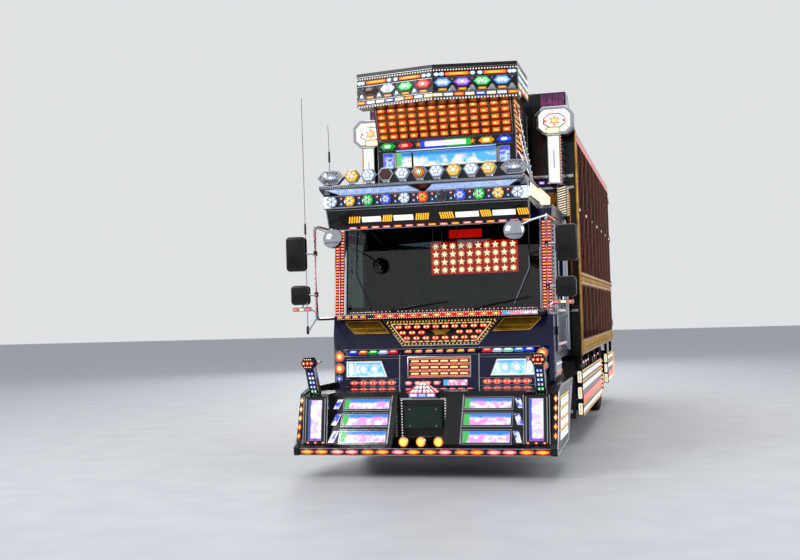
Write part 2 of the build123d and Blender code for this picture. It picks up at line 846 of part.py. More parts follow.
# Roof tower with its leaning lamp face
waist = (1400, 2850)
face_foot = (1380, 3130)
face_head = (1255, 3470)
tower_back = 2290
with BuildPart() as roof_tower:
    side_slab(
        [
            (waist[0], cab_roof),
            waist,
            face_foot,
            face_head,
            (face_head[0], tower_top),
            (tower_back, tower_top),
            (tower_back, cab_roof),
        ],
        (-tower_half, tower_half),
    )
roof_tower.part.label = "roof_tower"
export_step(roof_tower.part, "parts/roof_tower.step")

with BuildPart() as tower_lamps:
    middle = ((face_foot[0] + face_head[0]) / 2, (face_foot[1] + face_head[1]) / 2)
    run = face_head[0] - face_foot[0]
    rise = face_head[1] - face_foot[1]
    grid_plane = Plane(
        origin=(0, front_face + middle[0], middle[1]), x_dir=(1, 0, 0), z_dir=(0, -rise, run)
    )
    with BuildSketch(grid_plane) as board:
        Rectangle(2 * 668, 348)
    extrude(board.sketch, amount=10)
    with BuildSketch(grid_plane.offset(10)) as cups:
        with GridLocations(103, 65, 13, 5):
            Rectangle(76, 44)
    extrude(cups.sketch, amount=16)
    # across from, across to, for each lamp of the row under the grid
    for lamp_span in ((-650, -535), (-468, -350), (-215, 215), (350, 468), (535, 650)):
        raised_slab(waist, face_foot, (3045, 3118), 22, lamp_span)
    raised_slab(waist, face_foot, (2855, 3020), 18, (-640, 640))
tower_lamps.part.label = "tower_lamps"
export_step(tower_lamps.part, "parts/tower_lamps.step")

# Crown on the tower, pointed in plan
crown_low = 3415
crown_front = 880
crown_corner = 1015
crown_back = 1700
with BuildPart() as tower_crown:
    crown_plan = [
        (0, crown_front),
        (crown_half, crown_corner),
        (crown_half, crown_back),
        (-crown_half, crown_back),
        (-crown_half, crown_corner),
    ]
    plan_slab(crown_plan, (crown_low, crown_top))
    block((-crown_half, crown_half), (1195, crown_back), (crown_low, tower_top), mode=Mode.SUBTRACT)
tower_crown.part.label = "tower_crown"
export_step(tower_crown.part, "parts/tower_crown.step")

# Dashboard with column and steering wheel on the right-hand side
wheel_centre = (-480, 1400, 1480)
column_foot = (-480, 1210, 1330)
column_radius = 26
steering_radius = 215
spoke_wide = 40
with BuildPart() as dashboard:
    side_slab([(1000, 1200), (1000, 1415), (1200, 1425), (1330, 1330), (1300, 1200)], (-1000, 1000))
    rod(column_foot, wheel_centre, column_radius)
    column = Vector(*wheel_centre) - Vector(*column_foot)
    origin = (wheel_centre[0], front_face + wheel_centre[1], wheel_centre[2])
    wheel_plane = Plane(origin=origin, x_dir=(1, 0, 0), z_dir=column)
    with Locations(wheel_plane):
        Torus(steering_radius, 15)
    with BuildSketch(wheel_plane.offset(-8)) as spokes:
        Rectangle(2 * steering_radius - 10, spoke_wide)
        with Locations((0, -105)):
            Rectangle(spoke_wide, 210)
        Circle(60)
    extrude(spokes.sketch, amount=16)
dashboard.part.label = "dashboard"
export_step(dashboard.part, "parts/dashboard.step")

# Driver's and passenger's seats
with BuildPart() as seats:
    seat_side = [
        (1560, 990),
        (1560, 1370),
        (1960, 1390),
        (2050, 2040),
        (2160, 2040),
        (2110, 1300),
        (2010, 990),
    ]
    side_slab(seat_side, (470, 960))
    mirror(about=Plane.YZ)
seats.part.label = "seats"
export_step(seats.part, "parts/seats.step")

# Mirror stays with their main, lower and under-view mirrors
stay_across = 1064
stay_back = 470
stay_radius = 14
with BuildPart() as mirrors:
    # height, foot on the cab
    for up, foot_back in ((2240, 1100), (1385, 1090)):
        rod((stay_across, foot_back, up), (stay_across, stay_back, up), stay_radius)
    rod((stay_across, stay_back, 1371), (stay_across, stay_back, 2254), stay_radius)
    rod((stay_across, stay_back, 1990), (1200, 440, 1990), 10)
    rod((stay_across, stay_back, 1612), (1200, stay_back, 1612), 10)
    block((1145, 1335), (410, 470), (1830, 2150))
    block((1130, 1310), (445, 495), (1520, 1700))
    rod((stay_across, stay_back, 2235), (815, 230, 2130), 9)
    rod((815, 190, 2100), (815, 250, 2100), 92)
    mirror(about=Plane.YZ)
mirrors.part.label = "mirrors"
export_step(mirrors.part, "parts/mirrors.step")

# Cab doors and their panes
window_back = (1230, 1950)
window_up = (1490, 2140)
for side, side_name in ((1, "left"), (-1, "right")):
    with BuildPart() as cab_door:
        leaf = sorted((side * (cab_half - sheet_thick), side * cab_half))
        leaf_back = (door_front + door_gap, door_back - door_gap)
        block(leaf, leaf_back, (door_low + door_gap, door_top - door_gap))
        block(sorted((side * 1000, side * 1060)), window_back, window_up, mode=Mode.SUBTRACT)
        for up in door_hinge_ups:
            strap_ups = (up, up + door_strap_tall)
            block(sorted((side * 1056, side * 1072)), (1105, 1160), strap_ups)
            block(sorted((side * cab_half, side * 1056)), (1130, 1160), strap_ups)
            pin_line = (side * door_hinge[0], door_hinge[1])
            hole_radius = door_pin + running_gap
            rod((*pin_line, up), (*pin_line, strap_ups[1]), hole_radius, mode=Mode.SUBTRACT)
        handle = sorted((side * cab_half, side * (cab_half + 20)))
        block(handle, (1880, 1990), (1330, 1360))
    cab_door.part.label = f"cab_door_{side_name}"
    export_step(cab_door.part, f"parts/cab_door_{side_name}.step")

    with BuildPart() as door_glass:
        block(sorted((side * 1024, side * 1032)), window_back, window_up)
    door_glass.part.label = f"door_glass_{side_name}"
    export_step(door_glass.part, f"parts/door_glass_{side_name}.step")

# Steering knuckles: two ears round the king pin, a spindle and a backward arm
tie_rod_across = 740
tie_rod_back = 2180
tie_rod_up = 300
track_pin_radius = 10
ear_low = 326
arm_top = 356
ear_top = 490
plate_across = (838, 862)
for side, side_name in ((1, "left"), (-1, "right")):
    with BuildPart() as knuckle:
        for ear_ups in ((ear_low, arm_top), (464, ear_top)):
            ear = sorted((side * 752, side * plate_across[1]))
            block(ear, (front_axle_back - 38, front_axle_back + 38), ear_ups)
        plate = sorted(side * edge for edge in plate_across)
        block(plate, (front_axle_back - 60, front_axle_back + 60), (ear_low, ear_top))
        hub_line = (front_axle_back, tyre_radius)
        rod((side * 850, *hub_line), (side * 960, *hub_line), spindle_radius)
        arm = [(side * 765, 2000), (side * 805, 2000), (side * 758, 2205), (side * 722, 2205)]
        plan_slab(arm, (ear_low, arm_top))
        pin_line = (side * king_pin_across, front_axle_back)
        rod((*pin_line, 320), (*pin_line, 495), king_pin_radius + running_gap, mode=Mode.SUBTRACT)
        pin_line = (side * tie_rod_across, tie_rod_back)
        rod((*pin_line, 320), (*pin_line, 360), track_pin_radius + running_gap, mode=Mode.SUBTRACT)
    knuckle.part.label = f"knuckle_{side_name}"
    export_step(knuckle.part, f"parts/knuckle_{side_name}.step")

# Track rod behind the axle, with its pin in the left arm and a free eye under the right arm
with BuildPart() as tie_rod:
    rod((-tie_rod_across, tie_rod_back, tie_rod_up), (tie_rod_across, tie_rod_back, tie_rod_up), 14)
    for side in (-1, 1):
        pin_line = (side * tie_rod_across, tie_rod_back)
        rod((*pin_line, tie_rod_up - 14), (*pin_line, tie_rod_up + 20), 22)
    rod((*pin_line, 310), (*pin_line, 360), track_pin_radius)
tie_rod.part.label = "tie_rod"
export_step(tie_rod.part, "parts/tie_rod.step")


bead_radius = 225.3
rim_inner = 205
flange_radius = 238
hand_hole_ring = 145
hand_hole_radius = 24


def wheel_plane_at(across, back, side):
    """A plane through the wheel's axis: its X runs outwards along the axis, its Y up."""
    return Plane(
        origin=(side * across, front_face + back, tyre_radius), x_dir=(side, 0, 0), z_dir=(0, -side, 0)
    )


def tyre_ring(plane, offset):
    """A tyre turned round the plane's X axis, its middle at an offset along the axle."""
    with BuildSketch(plane) as section:
        with BuildLine():
            ThreePointArc((offset - 85, bead_radius), (offset - 112, 318), (offset - 97, 404))
            Line((offset - 97, 404), (offset - 84, tyre_radius))
            Line((offset - 84, tyre_radius), (offset + 84, tyre_radius))
            Line((offset + 84, tyre_radius), (offset + 97, 404))
            ThreePointArc((offset + 97, 404), (offset + 112, 318), (offset + 85, bead_radius))
            Line((offset + 85, bead_radius), (offset - 85, bead_radius))
        make_face()
    revolve(section.sketch, axis=Axis(plane.origin, plane.x_dir))


# Wheels: axle end, distance back, distance across, tyre middles along the axle
wheel_table = (
    ("front", front_axle_back, front_wheel_across, (0,)),
    ("rear", rear_axle_back, rear_wheel_across, (-twin_offset, twin_offset)),
)
# Section boxes of each wheel: along the axle from, to, radius from, to
wheel_boxes = {
    "front": (
        (-101, 101, rim_inner, rim_radius),
        (-101, -95, rim_inner, flange_radius),
        (95, 101, rim_inner, flange_radius),
        (30, 44, 60, 210),
        (-23, 88, spindle_radius + running_gap, 80),
        (66, 88, 0, 80),
    ),
    "rear": (
        (-231, 231, rim_inner, rim_radius),
        (-231, -225, rim_inner, flange_radius),
        (-35, -29, rim_inner, flange_radius),
        (29, 35, rim_inner, flange_radius),
        (225, 231, rim_inner, flange_radius),
        (-8, 8, 80, 210),
        (-150, 120, rear_spindle_radius + running_gap, 95),
        (100, 120, 0, 95),
    ),
}
for end_name, axle_back, across, middles in wheel_table:
    for side, side_name in ((1, "left"), (-1, "right")):
        plane = wheel_plane_at(across, axle_back, side)
        spin_axis = Axis(plane.origin, plane.x_dir)
        with BuildPart() as tyre:
            for offset in middles:
                tyre_ring(plane, offset)
        tyre.part.label = f"tyre_{end_name}_{side_name}"
        export_step(tyre.part, f"parts/tyre_{end_name}_{side_name}.step")

        with BuildPart() as wheel:
            with BuildSketch(plane) as section:
                for start, end, low, high in wheel_boxes[end_name]:
                    with Locations(((start + end) / 2, (low + high) / 2)):
                        Rectangle(end - start, high - low)
            revolve(section.sketch, axis=spin_axis)
            disc_plane = Plane(origin=plane.origin, z_dir=plane.x_dir)
            with BuildSketch(disc_plane) as hand_holes:
                with PolarLocations(hand_hole_ring, 8):
                    Circle(hand_hole_radius)
            extrude(hand_holes.sketch, amount=80, both=True, mode=Mode.SUBTRACT)
        wheel.part.label = f"wheel_{end_name}_{side_name}"
        export_step(wheel.part, f"parts/wheel_{end_name}_{side_name}.step")
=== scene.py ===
"""Finishes and fine pieces of a decorated box truck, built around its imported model.

Sizes inside the builders are in millimetres and places are given as (across, back, up):
across is positive on the truck's left side, back runs from the bumper's face to the tail,
and up is the height over the ground. Pieces are turned to metres when they are finished.
"""

import json
import math

import bpy
from mathutils import Matrix, Vector


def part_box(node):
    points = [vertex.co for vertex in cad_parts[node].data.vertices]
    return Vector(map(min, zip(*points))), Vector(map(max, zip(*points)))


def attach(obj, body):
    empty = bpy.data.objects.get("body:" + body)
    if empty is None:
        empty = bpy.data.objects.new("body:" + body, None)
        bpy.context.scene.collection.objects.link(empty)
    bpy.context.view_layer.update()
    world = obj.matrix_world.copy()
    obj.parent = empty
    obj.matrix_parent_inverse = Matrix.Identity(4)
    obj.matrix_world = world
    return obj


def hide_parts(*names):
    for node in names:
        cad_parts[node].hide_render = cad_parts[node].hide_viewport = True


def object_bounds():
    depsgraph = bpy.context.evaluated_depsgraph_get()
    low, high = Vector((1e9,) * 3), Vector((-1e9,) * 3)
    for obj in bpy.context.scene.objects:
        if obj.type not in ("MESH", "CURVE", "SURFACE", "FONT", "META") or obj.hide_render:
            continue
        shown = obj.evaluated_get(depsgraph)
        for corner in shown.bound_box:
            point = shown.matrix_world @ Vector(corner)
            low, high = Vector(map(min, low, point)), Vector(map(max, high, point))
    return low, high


bl_info = {
    "name": "Decorated truck",
    "version": (1, 0, 0),
    "blender": (4, 5, 0),
    "location": "3D View > Sidebar > Truck",
    "description": "Lamps, trim, wheels, seats and finishes of a decorated box truck",
    "category": "Object",
}

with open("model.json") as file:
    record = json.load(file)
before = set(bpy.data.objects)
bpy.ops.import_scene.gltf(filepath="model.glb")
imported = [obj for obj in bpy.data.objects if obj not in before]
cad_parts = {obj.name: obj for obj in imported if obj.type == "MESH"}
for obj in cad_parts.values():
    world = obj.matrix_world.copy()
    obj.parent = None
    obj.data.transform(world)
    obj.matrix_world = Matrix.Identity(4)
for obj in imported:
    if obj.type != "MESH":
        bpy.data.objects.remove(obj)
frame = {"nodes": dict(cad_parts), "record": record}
cad_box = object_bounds()

MM = 0.001
FRONT = cad_box[0][1] / MM


# Colours and nodes


def linear(code):
    """Linear light values of an sRGB colour written as #rrggbb."""
    parts = [int(code[start : start + 2], 16) / 255 for start in (1, 3, 5)]
    return tuple(c / 12.92 if c <= 0.04045 else ((c + 0.055) / 1.055) ** 2.4 for c in parts)


def rgba(colour):
    """A colour with full cover, from #rrggbb or from linear values."""
    values = linear(colour) if isinstance(colour, str) else tuple(colour)
    return (*values[:3], 1.0)


def add_node(tree, kind, inputs=None, **settings):
    """Adds a node, sets its settings, and fills or links its inputs."""
    made = tree.nodes.new(kind)
    for name, value in settings.items():
        setattr(made, name, value)
    for socket, value in (inputs or {}).items():
        if isinstance(value, bpy.types.NodeSocket):
            tree.links.new(value, made.inputs[socket])
        else:
            made.inputs[socket].default_value = value
    return made


def ramp_of(tree, factor, *stops):
    """A colour ramp through (place, colour) stops."""
    made = add_node(tree, "ShaderNodeValToRGB", {"Fac": factor})
    band = made.color_ramp.elements
    while len(band) < len(stops):
        band.new(0.5)
    for element, (place, colour) in zip(band, stops):
        element.position = place
        element.color = rgba(colour)
    return made.outputs["Color"]


def dimmed(colour, share):
    """Linear values of a colour, darkened to a share of its light."""
    return tuple(c * share for c in rgba(colour)[:3])


def math_of(tree, operation, *values):
    """The result of a math node on its values."""
    return add_node(tree, "ShaderNodeMath", dict(enumerate(values)), operation=operation).outputs[0]


def object_place(tree, **mapping):
    """The object's own place, turned and scaled where the mapping says so."""
    place = add_node(tree, "ShaderNodeTexCoord").outputs["Object"]
    if not mapping:
        return place
    return add_node(tree, "ShaderNodeMapping", {"Vector": place, **mapping}).outputs["Vector"]


def noise_of(tree, size, detail=3, stretch=(1, 1, 1)):
    """Noise whose blotches are about size millimetres wide, on the object's own place."""
    place = object_place(tree, Scale=[1000 / size * s for s in stretch])
    values = {"Vector": place, "Scale": 1.0, "Detail": detail}
    return add_node(tree, "ShaderNodeTexNoise", values).outputs["Fac"]


def new_material(name, values):
    """A principled material and its tree, with fixed values on the shader's own sockets."""
    material = bpy.data.materials.new(name)
    material.use_nodes = True
    tree = material.node_tree
    tree.nodes.clear()
    shader = add_node(tree, "ShaderNodeBsdfPrincipled", values)
    add_node(tree, "ShaderNodeOutputMaterial", {"Surface": shader.outputs["BSDF"]})
    return material, tree, shader


def rough_from(tree, shader, factor, low, high):
    """Roughness that wanders between two values."""
    spread = add_node(tree, "ShaderNodeMapRange", {"Value": factor, "To Min": low, "To Max": high})
    tree.links.new(spread.outputs["Result"], shader.inputs["Roughness"])


def bump_from(tree, shader, height, strength, depth):
    """Bump whose full depth is given in millimetres."""
    made = add_node(
        tree, "ShaderNodeBump", {"Height": height, "Strength": strength, "Distance": depth * MM}
    )
    tree.links.new(made.outputs["Normal"], shader.inputs["Normal"])


# Materials, each from what the real one is


def surface(name, values, tone, rough=None, bump=None):
    """A material whose colour, roughness and bump each wander in their own way.

    tone is (source, *stops), rough is (source, low, high), and bump is (source, strength, depth in
    millimetres). A source is a noise as (size, detail, stretch), or a function of the tree.
    """
    material, tree, shader = new_material(name, values)

    def wander(source):
        return source(tree) if callable(source) else noise_of(tree, *source)

    tree.links.new(ramp_of(tree, wander(tone[0]), *tone[1:]), shader.inputs["Base Color"])
    if rough:
        rough_from(tree, shader, wander(rough[0]), *rough[1:])
    if bump:
        bump_from(tree, shader, wander(bump[0]), *bump[1:])
    return material


def mirror_steel(name, colour, grain=900, smear=(0.05, 0.16), wave=0.6, edge="#ffffff"):
    """Mirror-polished stainless sheet: soft waves over 0.9 m and wipe marks of a hand's width."""
    values = {"Metallic": 1.0, "Specular Tint": rgba(edge)}
    tone = ((160,), (0.3, colour), (0.75, dimmed(colour, 0.86)))
    return surface(name, values, tone, ((90, 5), *smear), ((grain, 1), 0.5, wave))


def lacquer(name, colour, dust="#1d1d20"):
    """Sprayed and polished two-coat lacquer: deep colour, clear coat, orange peel of 3 mm."""
    values = {"Coat Weight": 0.25, "Coat Roughness": 0.04, "IOR": 1.45, "Specular IOR Level": 0.3}
    tone = ((240, 6), (0.45, colour), (0.95, dust))
    return surface(name, values, tone, ((120, 4), 0.18, 0.34), ((3, 1), 0.15, 0.05))


def chassis_paint():
    """Brushed-on chassis enamel: satin black, greyed by road dust lying in 150 mm clouds."""
    tone = ((150, 8), (0.35, "#121315"), (0.8, "#38342f"))
    return surface("chassis_enamel", {"IOR": 1.5}, tone, ((40, 4), 0.38, 0.75), ((6, 3), 0.4, 0.3))


def cast_iron():
    """Sand-cast iron under thin paint: grains of 3 mm, oily dark patches."""
    values = {"Metallic": 0.35, "IOR": 1.5}
    tone = ((90, 6), (0.3, "#1d1e20"), (0.7, "#3c3a37"))
    return surface("cast_iron", values, tone, ((60, 4), 0.5, 0.85), ((3, 4), 0.6, 0.6))


def rubber(name, colour, grit):
    """Cured black rubber: dull, with a moulded grain and brownish road dust."""
    values = {"IOR": 1.52, "Specular IOR Level": 0.35}
    tone = ((130, 8), (0.4, colour), (0.9, "#3b3630"))
    return surface(name, values, tone, ((30, 5), 0.6, 0.9), ((grit, 3), 0.5, 0.4))


def brushed_aluminium():
    """Rolled aluminium, brushed along the truck: hair lines 1 mm wide and 80 mm long."""
    hair = (1.5, 3, (1, 0.02, 1))
    tone = (hair, (0.3, "#a8acb0"), (0.7, "#cdd0d3"))
    return surface("brushed_aluminium", {"Metallic": 1.0}, tone, (hair, 0.2, 0.42), (hair, 0.3, 0.1))


def gilt_brass(name, colour, emboss):
    """Gilt pressed brass: warm gloss, with a quilted stamping of the given pitch."""

    def quilt(tree):
        place = object_place(tree, Rotation=(math.pi / 4, 0, 0), Scale=[1000 / emboss] * 3)
        values = {"Vector": place, "Scale": 1.0, "Randomness": 0.0}
        return add_node(tree, "ShaderNodeTexVoronoi", values).outputs["Distance"]

    tone = ((110, 4), (0.3, colour), (0.8, "#8d6320"))
    return surface(name, {"Metallic": 1.0}, tone, ((50, 4), 0.16, 0.34), (quilt, 0.8, 2.5))


def roof_enamel():
    """White enamel on a roof skin: chalky, with grey rain streaks along the truck."""
    tone = ((300, 8, (1, 0.15, 1)), (0.35, "#d6d8da"), (0.85, "#9a9a96"))
    return surface("roof_enamel", {"IOR": 1.5}, tone, ((80, 4), 0.35, 0.6))


def floor_boards():
    """Hardwood floor boards 150 mm wide, laid along the truck, scuffed by loads."""
    material, tree, shader = new_material("hardwood_boards", {"IOR": 1.5})
    values = {
        "Vector": object_place(tree, Rotation=(0, 0, math.pi / 2)),
        "Color1": rgba("#7a5230"),
        "Color2": rgba("#5e3f26"),
        "Mortar": rgba("#1c140d"),
        "Scale": 1.0,
        "Mortar Size": 0.004,
        "Brick Width": 2.4,
        "Row Height": 0.15,
    }
    boards = add_node(tree, "ShaderNodeTexBrick", values).outputs["Color"]
    grain = noise_of(tree, 8, 5, (1, 0.03, 1))
    tone = mix_colours(tree, 0.35, boards, ramp_of(tree, grain, (0.3, "#3d2817"), (0.7, "#9a6f45")))
    tree.links.new(tone, shader.inputs["Base Color"])
    rough_from(tree, shader, grain, 0.5, 0.75)
    bump_from(tree, shader, grain, 0.4, 0.4)
    return material


def moulded_plastic(name, colour, grain=1.2, rough=(0.45, 0.65)):
    """Injection-moulded plastic with a fine leather grain."""
    tone = ((60, 3), (0.2, colour), (0.9, dimmed(colour, 0.7)))
    return surface(name, {"IOR": 1.46}, tone, ((20, 3), *rough), ((grain * 2, 2), 0.4, 0.2))


def woven_cloth(colour):
    """Woven seat cloth: threads of 2 mm drawn at 4 mm so that they show, with sheen."""

    def weave(tree):
        values = {"Vector": object_place(tree), "Scale": 80.0, "Distortion": 0.4}
        warp, weft = [
            add_node(tree, "ShaderNodeTexWave", values, bands_direction=axis).outputs["Fac"] for axis in "XZ"
        ]
        return math_of(tree, "MULTIPLY", warp, weft)

    values = {"Sheen Weight": 0.5, "Sheen Roughness": 0.4, "Roughness": 0.85, "IOR": 1.45}
    tone = ((45, 4), (0.3, colour), (0.8, dimmed(colour, 0.5)))
    return surface("woven_seat_cloth", values, tone, bump=(weave, 0.6, 0.8))


def safety_glass(name, tint):
    """Float glass: clear, faintly tinted, with a film of dust on it."""
    values = {"Transmission Weight": 1.0, "IOR": 1.45}
    tone = ((200, 5), (0.3, tint), (0.9, dimmed(tint, 0.8)))
    return surface(name, values, tone, ((150, 5), 0.0, 0.05))


def marked(tree):
    """The u and v of a lit panel and the glow of a lens, as the pieces carry them."""
    carried = add_node(tree, "ShaderNodeAttribute", attribute_name="mark")
    parts = add_node(tree, "ShaderNodeSeparateXYZ", {"Vector": carried.outputs["Vector"]})
    return parts.outputs["X"], parts.outputs["Y"], parts.outputs["Z"]


def acrylic_lens(name, rim, hot, strength):
    """Moulded acrylic lens over a bulb: saturated at its rim, nearly white over the filament."""
    values = {"Roughness": 0.16, "IOR": 1.49, "Emission Strength": strength}
    material, tree, shader = new_material(name, values)
    dark = dimmed(rim, 0.5)
    flutes = noise_of(tree, 9, 2)
    glow = math_of(tree, "MULTIPLY_ADD", flutes, 0.35, marked(tree)[2])
    tone = ramp_of(tree, glow, (0.1, dark), (0.45, rim), (0.9, hot))
    tree.links.new(tone, shader.inputs["Emission Color"])
    body = ramp_of(tree, flutes, (0.3, dimmed(rim, 0.25)), (0.7, dark))
    tree.links.new(body, shader.inputs["Base Color"])
    bump_from(tree, shader, flutes, 0.3, 0.6)
    return material


def unlit_lens(name, colour):
    """Moulded acrylic lens whose bulb is off: dark and glossy, with 9 mm facets."""
    values = {"IOR": 1.49, "Coat Weight": 0.6, "Coat Roughness": 0.05}
    tone = ((9, 2), (0.35, colour), (0.65, dimmed(colour, 0.4)))
    return surface(name, values, tone, ((9, 2), 0.12, 0.3), ((9, 2), 0.4, 0.8))


def mix_colours(tree, factor, first, second):
    """The first colour where the factor is 0 and the second where it is 1."""
    values = {"Factor": factor}
    for slot, colour in ((6, first), (7, second)):
        values[slot] = colour if isinstance(colour, bpy.types.NodeSocket) else rgba(colour)
    return add_node(tree, "ShaderNodeMix", values, data_type="RGBA").outputs[2]


def edge_of(tree, value, low, high, wander=None, sway=0.0):
    """Goes from 0 to 1 as a value passes from low to high, with a wandering edge."""
    if wander is not None:
        offset = math_of(tree, "SUBTRACT", wander, 0.5)
        value = math_of(tree, "MULTIPLY_ADD", offset, sway, value)
    values = {"Value": value, "From Min": low, "From Max": high}
    return add_node(tree, "ShaderNodeMapRange", values).outputs["Result"]


def backlit_print(name, ground, cloud, top, side, foot, blot):
    """Film print behind lit acrylic: clouds over a coloured ground, another tone at top, end and foot.

    Each of top, side and foot is (colour, share of the panel), or None.
    """
    values = {"Roughness": 0.12, "IOR": 1.49, "Emission Strength": 0.95, "Coat Weight": 0.4}
    material, tree, shader = new_material(name, values)
    u, v, _ = marked(tree)
    blots = noise_of(tree, blot, 2)
    tone = ramp_of(tree, blots, (0.42, ground), (0.56, cloud))
    if top:
        tone = mix_colours(tree, edge_of(tree, v, 1 - top[1], 1 - top[1] * 0.5, blots, 0.5), tone, top[0])
    if side:
        share = edge_of(tree, u, side[1] * 0.6, side[1], blots, 0.12)
        tone = mix_colours(tree, share, side[0], tone)
    if foot:
        tone = mix_colours(tree, edge_of(tree, v, foot[1] * 0.5, foot[1], blots, 0.1), foot[0], tone)
    tree.links.new(tone, shader.inputs["Emission Color"])
    body = mix_colours(tree, 0.72, tone, "#101014")
    tree.links.new(body, shader.inputs["Base Color"])
    return material


def headlamp_glass():
    """Headlamp behind clear polycarbonate: white reflector, a blue tube and cyan bowls."""
    values = {"Roughness": 0.08, "IOR": 1.58, "Emission Strength": 1.0, "Coat Weight": 1.0}
    material, tree, shader = new_material("headlamp_glass", values)
    _, v, glow = marked(tree)
    bowls = noise_of(tree, 55, 1)
    tone = ramp_of(tree, bowls, (0.4, "#54c4f8"), (0.62, "#d8f4ff"))
    tone = mix_colours(tree, edge_of(tree, v, 0.7, 1.0, bowls, 0.3), tone, "#4a86ee")
    tone = mix_colours(tree, edge_of(tree, glow, 0.55, 0.9), tone, "#f4fbff")
    tree.links.new(tone, shader.inputs["Emission Color"])
    tree.links.new(mix_colours(tree, 0.6, tone, "#203040"), shader.inputs["Base Color"])
    return material


LENS_TABLE = (
    # name, rim colour, hot colour, strength
    ("amber", "#ff5a05", "#fff0a0", 1.25),
    ("orange", "#f02a04", "#ffd23c", 1.2),
    ("red", "#f0102a", "#ffb08c", 1.15),
    ("rose", "#ff2a5c", "#ffe0b0", 1.15),
    ("yellow", "#ffb400", "#fffbd0", 1.2),
    ("green", "#00c83c", "#eafff0", 1.15),
    ("blue", "#1440ff", "#f0f6ff", 1.25),
    ("sky", "#2f8cff", "#ffffff", 1.2),
    ("violet", "#7828d8", "#f4e0ff", 1.1),
    ("white", "#c8dcff", "#ffffff", 1.1),
    ("warm_white", "#ffdca0", "#ffffff", 1.15),
    ("mint", "#8cf5d2", "#ffffff", 1.2),
    ("fog", "#ff7a00", "#ffe06a", 1.35),
    ("gold", "#a85c00", "#ffc23c", 1.0),
    ("ember", "#a01c06", "#ff6a24", 1.1),
    ("sign_red", "#ff1206", "#ff4a1c", 2.6),
    ("sign_star", "#ffc414", "#fffbd0", 3.4),
)

PRINT_TABLE = (
    # name, ground, cloud, top, side, foot
    ("print_strip", "#f79af0", "#fff6ff", ("#2a86f4", 0.42), ("#3cbc50", 0.15), None),
    ("print_pod", "#e4c8fa", "#ffffff", None, ("#1c46e0", 0.2), ("#a028d8", 0.08)),
    ("print_slant", "#1c3ce0", "#f4f8ff", None, None, None),
    ("print_sky", "#54b8f4", "#ffffff", ("#1484dc", 0.4), ("#5cc870", 0.06), ("#fff2b4", 0.12)),
    ("print_violet", "#7a50f0", "#b8f0ff", ("#1e50e0", 0.3), None, None),
    ("print_white", "#fdf6e4", "#ffffff", None, None, None),
    ("print_pink", "#ff7ab0", "#fff0f4", None, ("#38b4f0", 0.25), None),
    ("print_ice", "#96b4f0", "#b4ccf8", None, None, None),
    ("print_red", "#e8040e", "#ff2a12", None, None, None),
    ("print_cream", "#ffe4ac", "#fff8e6", None, None, None),
    ("print_lattice", "#ffd4e4", "#ffffff", None, None, None),
    ("print_plum", "#3c0c40", "#7a1c5c", None, None, None),
)


# Width of the clouds on the larger prints, in millimetres
CLOUD_SIZES = {"print_sky": 130, "print_strip": 60, "print_slant": 55, "print_pod": 48, "print_white": 90}


def build_materials(colours):
    """Every finish of the truck by name, with the colours that the panel shows."""
    made = {
        # Chromed and polished steel reflects all round, with faint wipe marks
        "chrome": mirror_steel("mirror_polished_steel", "#b9bec6"),
        # Mirror sheet darkened by a painted tint behind the lamps: painted shade and dark reflection that
        # keep the faces between them deep
        "smoked": mirror_steel("mirror_steel_painted_dark", "#4a4d58", 600, (0.08, 0.22)),
        "mirror_glass": mirror_steel("silvered_glass", "#e9eef0", smear=(0.01, 0.04), wave=0.1),
        # Titanium-coloured mirror sheet gives the box its bronze; its darker copy is a painted dark
        # reflection, laid on two reeds in three as stripes
        "bronze": mirror_steel("bronze_mirror_sheet", "#7c4c18", 700, (0.06, 0.16), 1.2, "#b07a38"),
        "dark_bronze": mirror_steel("bronze_sheet_painted_dark_reflection", "#4c2610", 700, (0.06, 0.16), 1.2, "#70381c"),
        "black": lacquer("polished_black_lacquer", colours.lacquer),
        "navy": lacquer("deep_blue_lacquer", colours.cab_paint, "#101648"),
        "chassis": chassis_paint(),
        "iron": cast_iron(),
        "tyre": rubber("tyre_rubber", "#141416", 2.5),
        "flap": rubber("moulded_flap_rubber", "#0f0f10", 5.0),
        "aluminium": brushed_aluminium(),
        "gilt": gilt_brass("gilt_pressed_brass", colours.gilt, 34),
        "gilt_plain": gilt_brass("gilt_smooth_brass", colours.gilt, 400),
        "roof": roof_enamel(),
        "boards": floor_boards(),
        "case": moulded_plastic("dark_lamp_case", "#17171b", 2.0, (0.3, 0.5)),
        "plastic": moulded_plastic("grained_dash_plastic", "#1d1e22"),
        "trim": moulded_plastic("pale_cab_trim", "#6b6862", 2.0),
        "cloth": woven_cloth(colours.seat_cloth),
        "glass": safety_glass("tinted_safety_glass", "#8fa09c"),
        "plate": lacquer("blank_plate_enamel", "#0d2a22", "#15382e"),
        "dark_lens": unlit_lens("unlit_dark_lens", "#5a1018"),
        "dim_lens": unlit_lens("unlit_grey_lens", "#2a2c34"),
        "headlamp": headlamp_glass(),
    }
    for name, rim, hot, strength in LENS_TABLE:
        chosen = getattr(colours, name, None)
        made[name] = acrylic_lens(f"acrylic_lens_{name}", rim if chosen is None else chosen, hot, strength)
    for name, *look in PRINT_TABLE:
        made[name] = backlit_print(f"backlit_{name}", *look, CLOUD_SIZES.get(name, 38))
    return made


MATERIALS = {}


# Outlines, counter-clockwise in a plane, in millimetres


def ngon(width, height, count, turn=0.0):
    """A regular outline of count points, squeezed to a width and a height."""
    angles = [2 * math.pi * (index + turn) / count for index in range(count)]
    return [(width / 2 * math.cos(a), height / 2 * math.sin(a)) for a in angles]


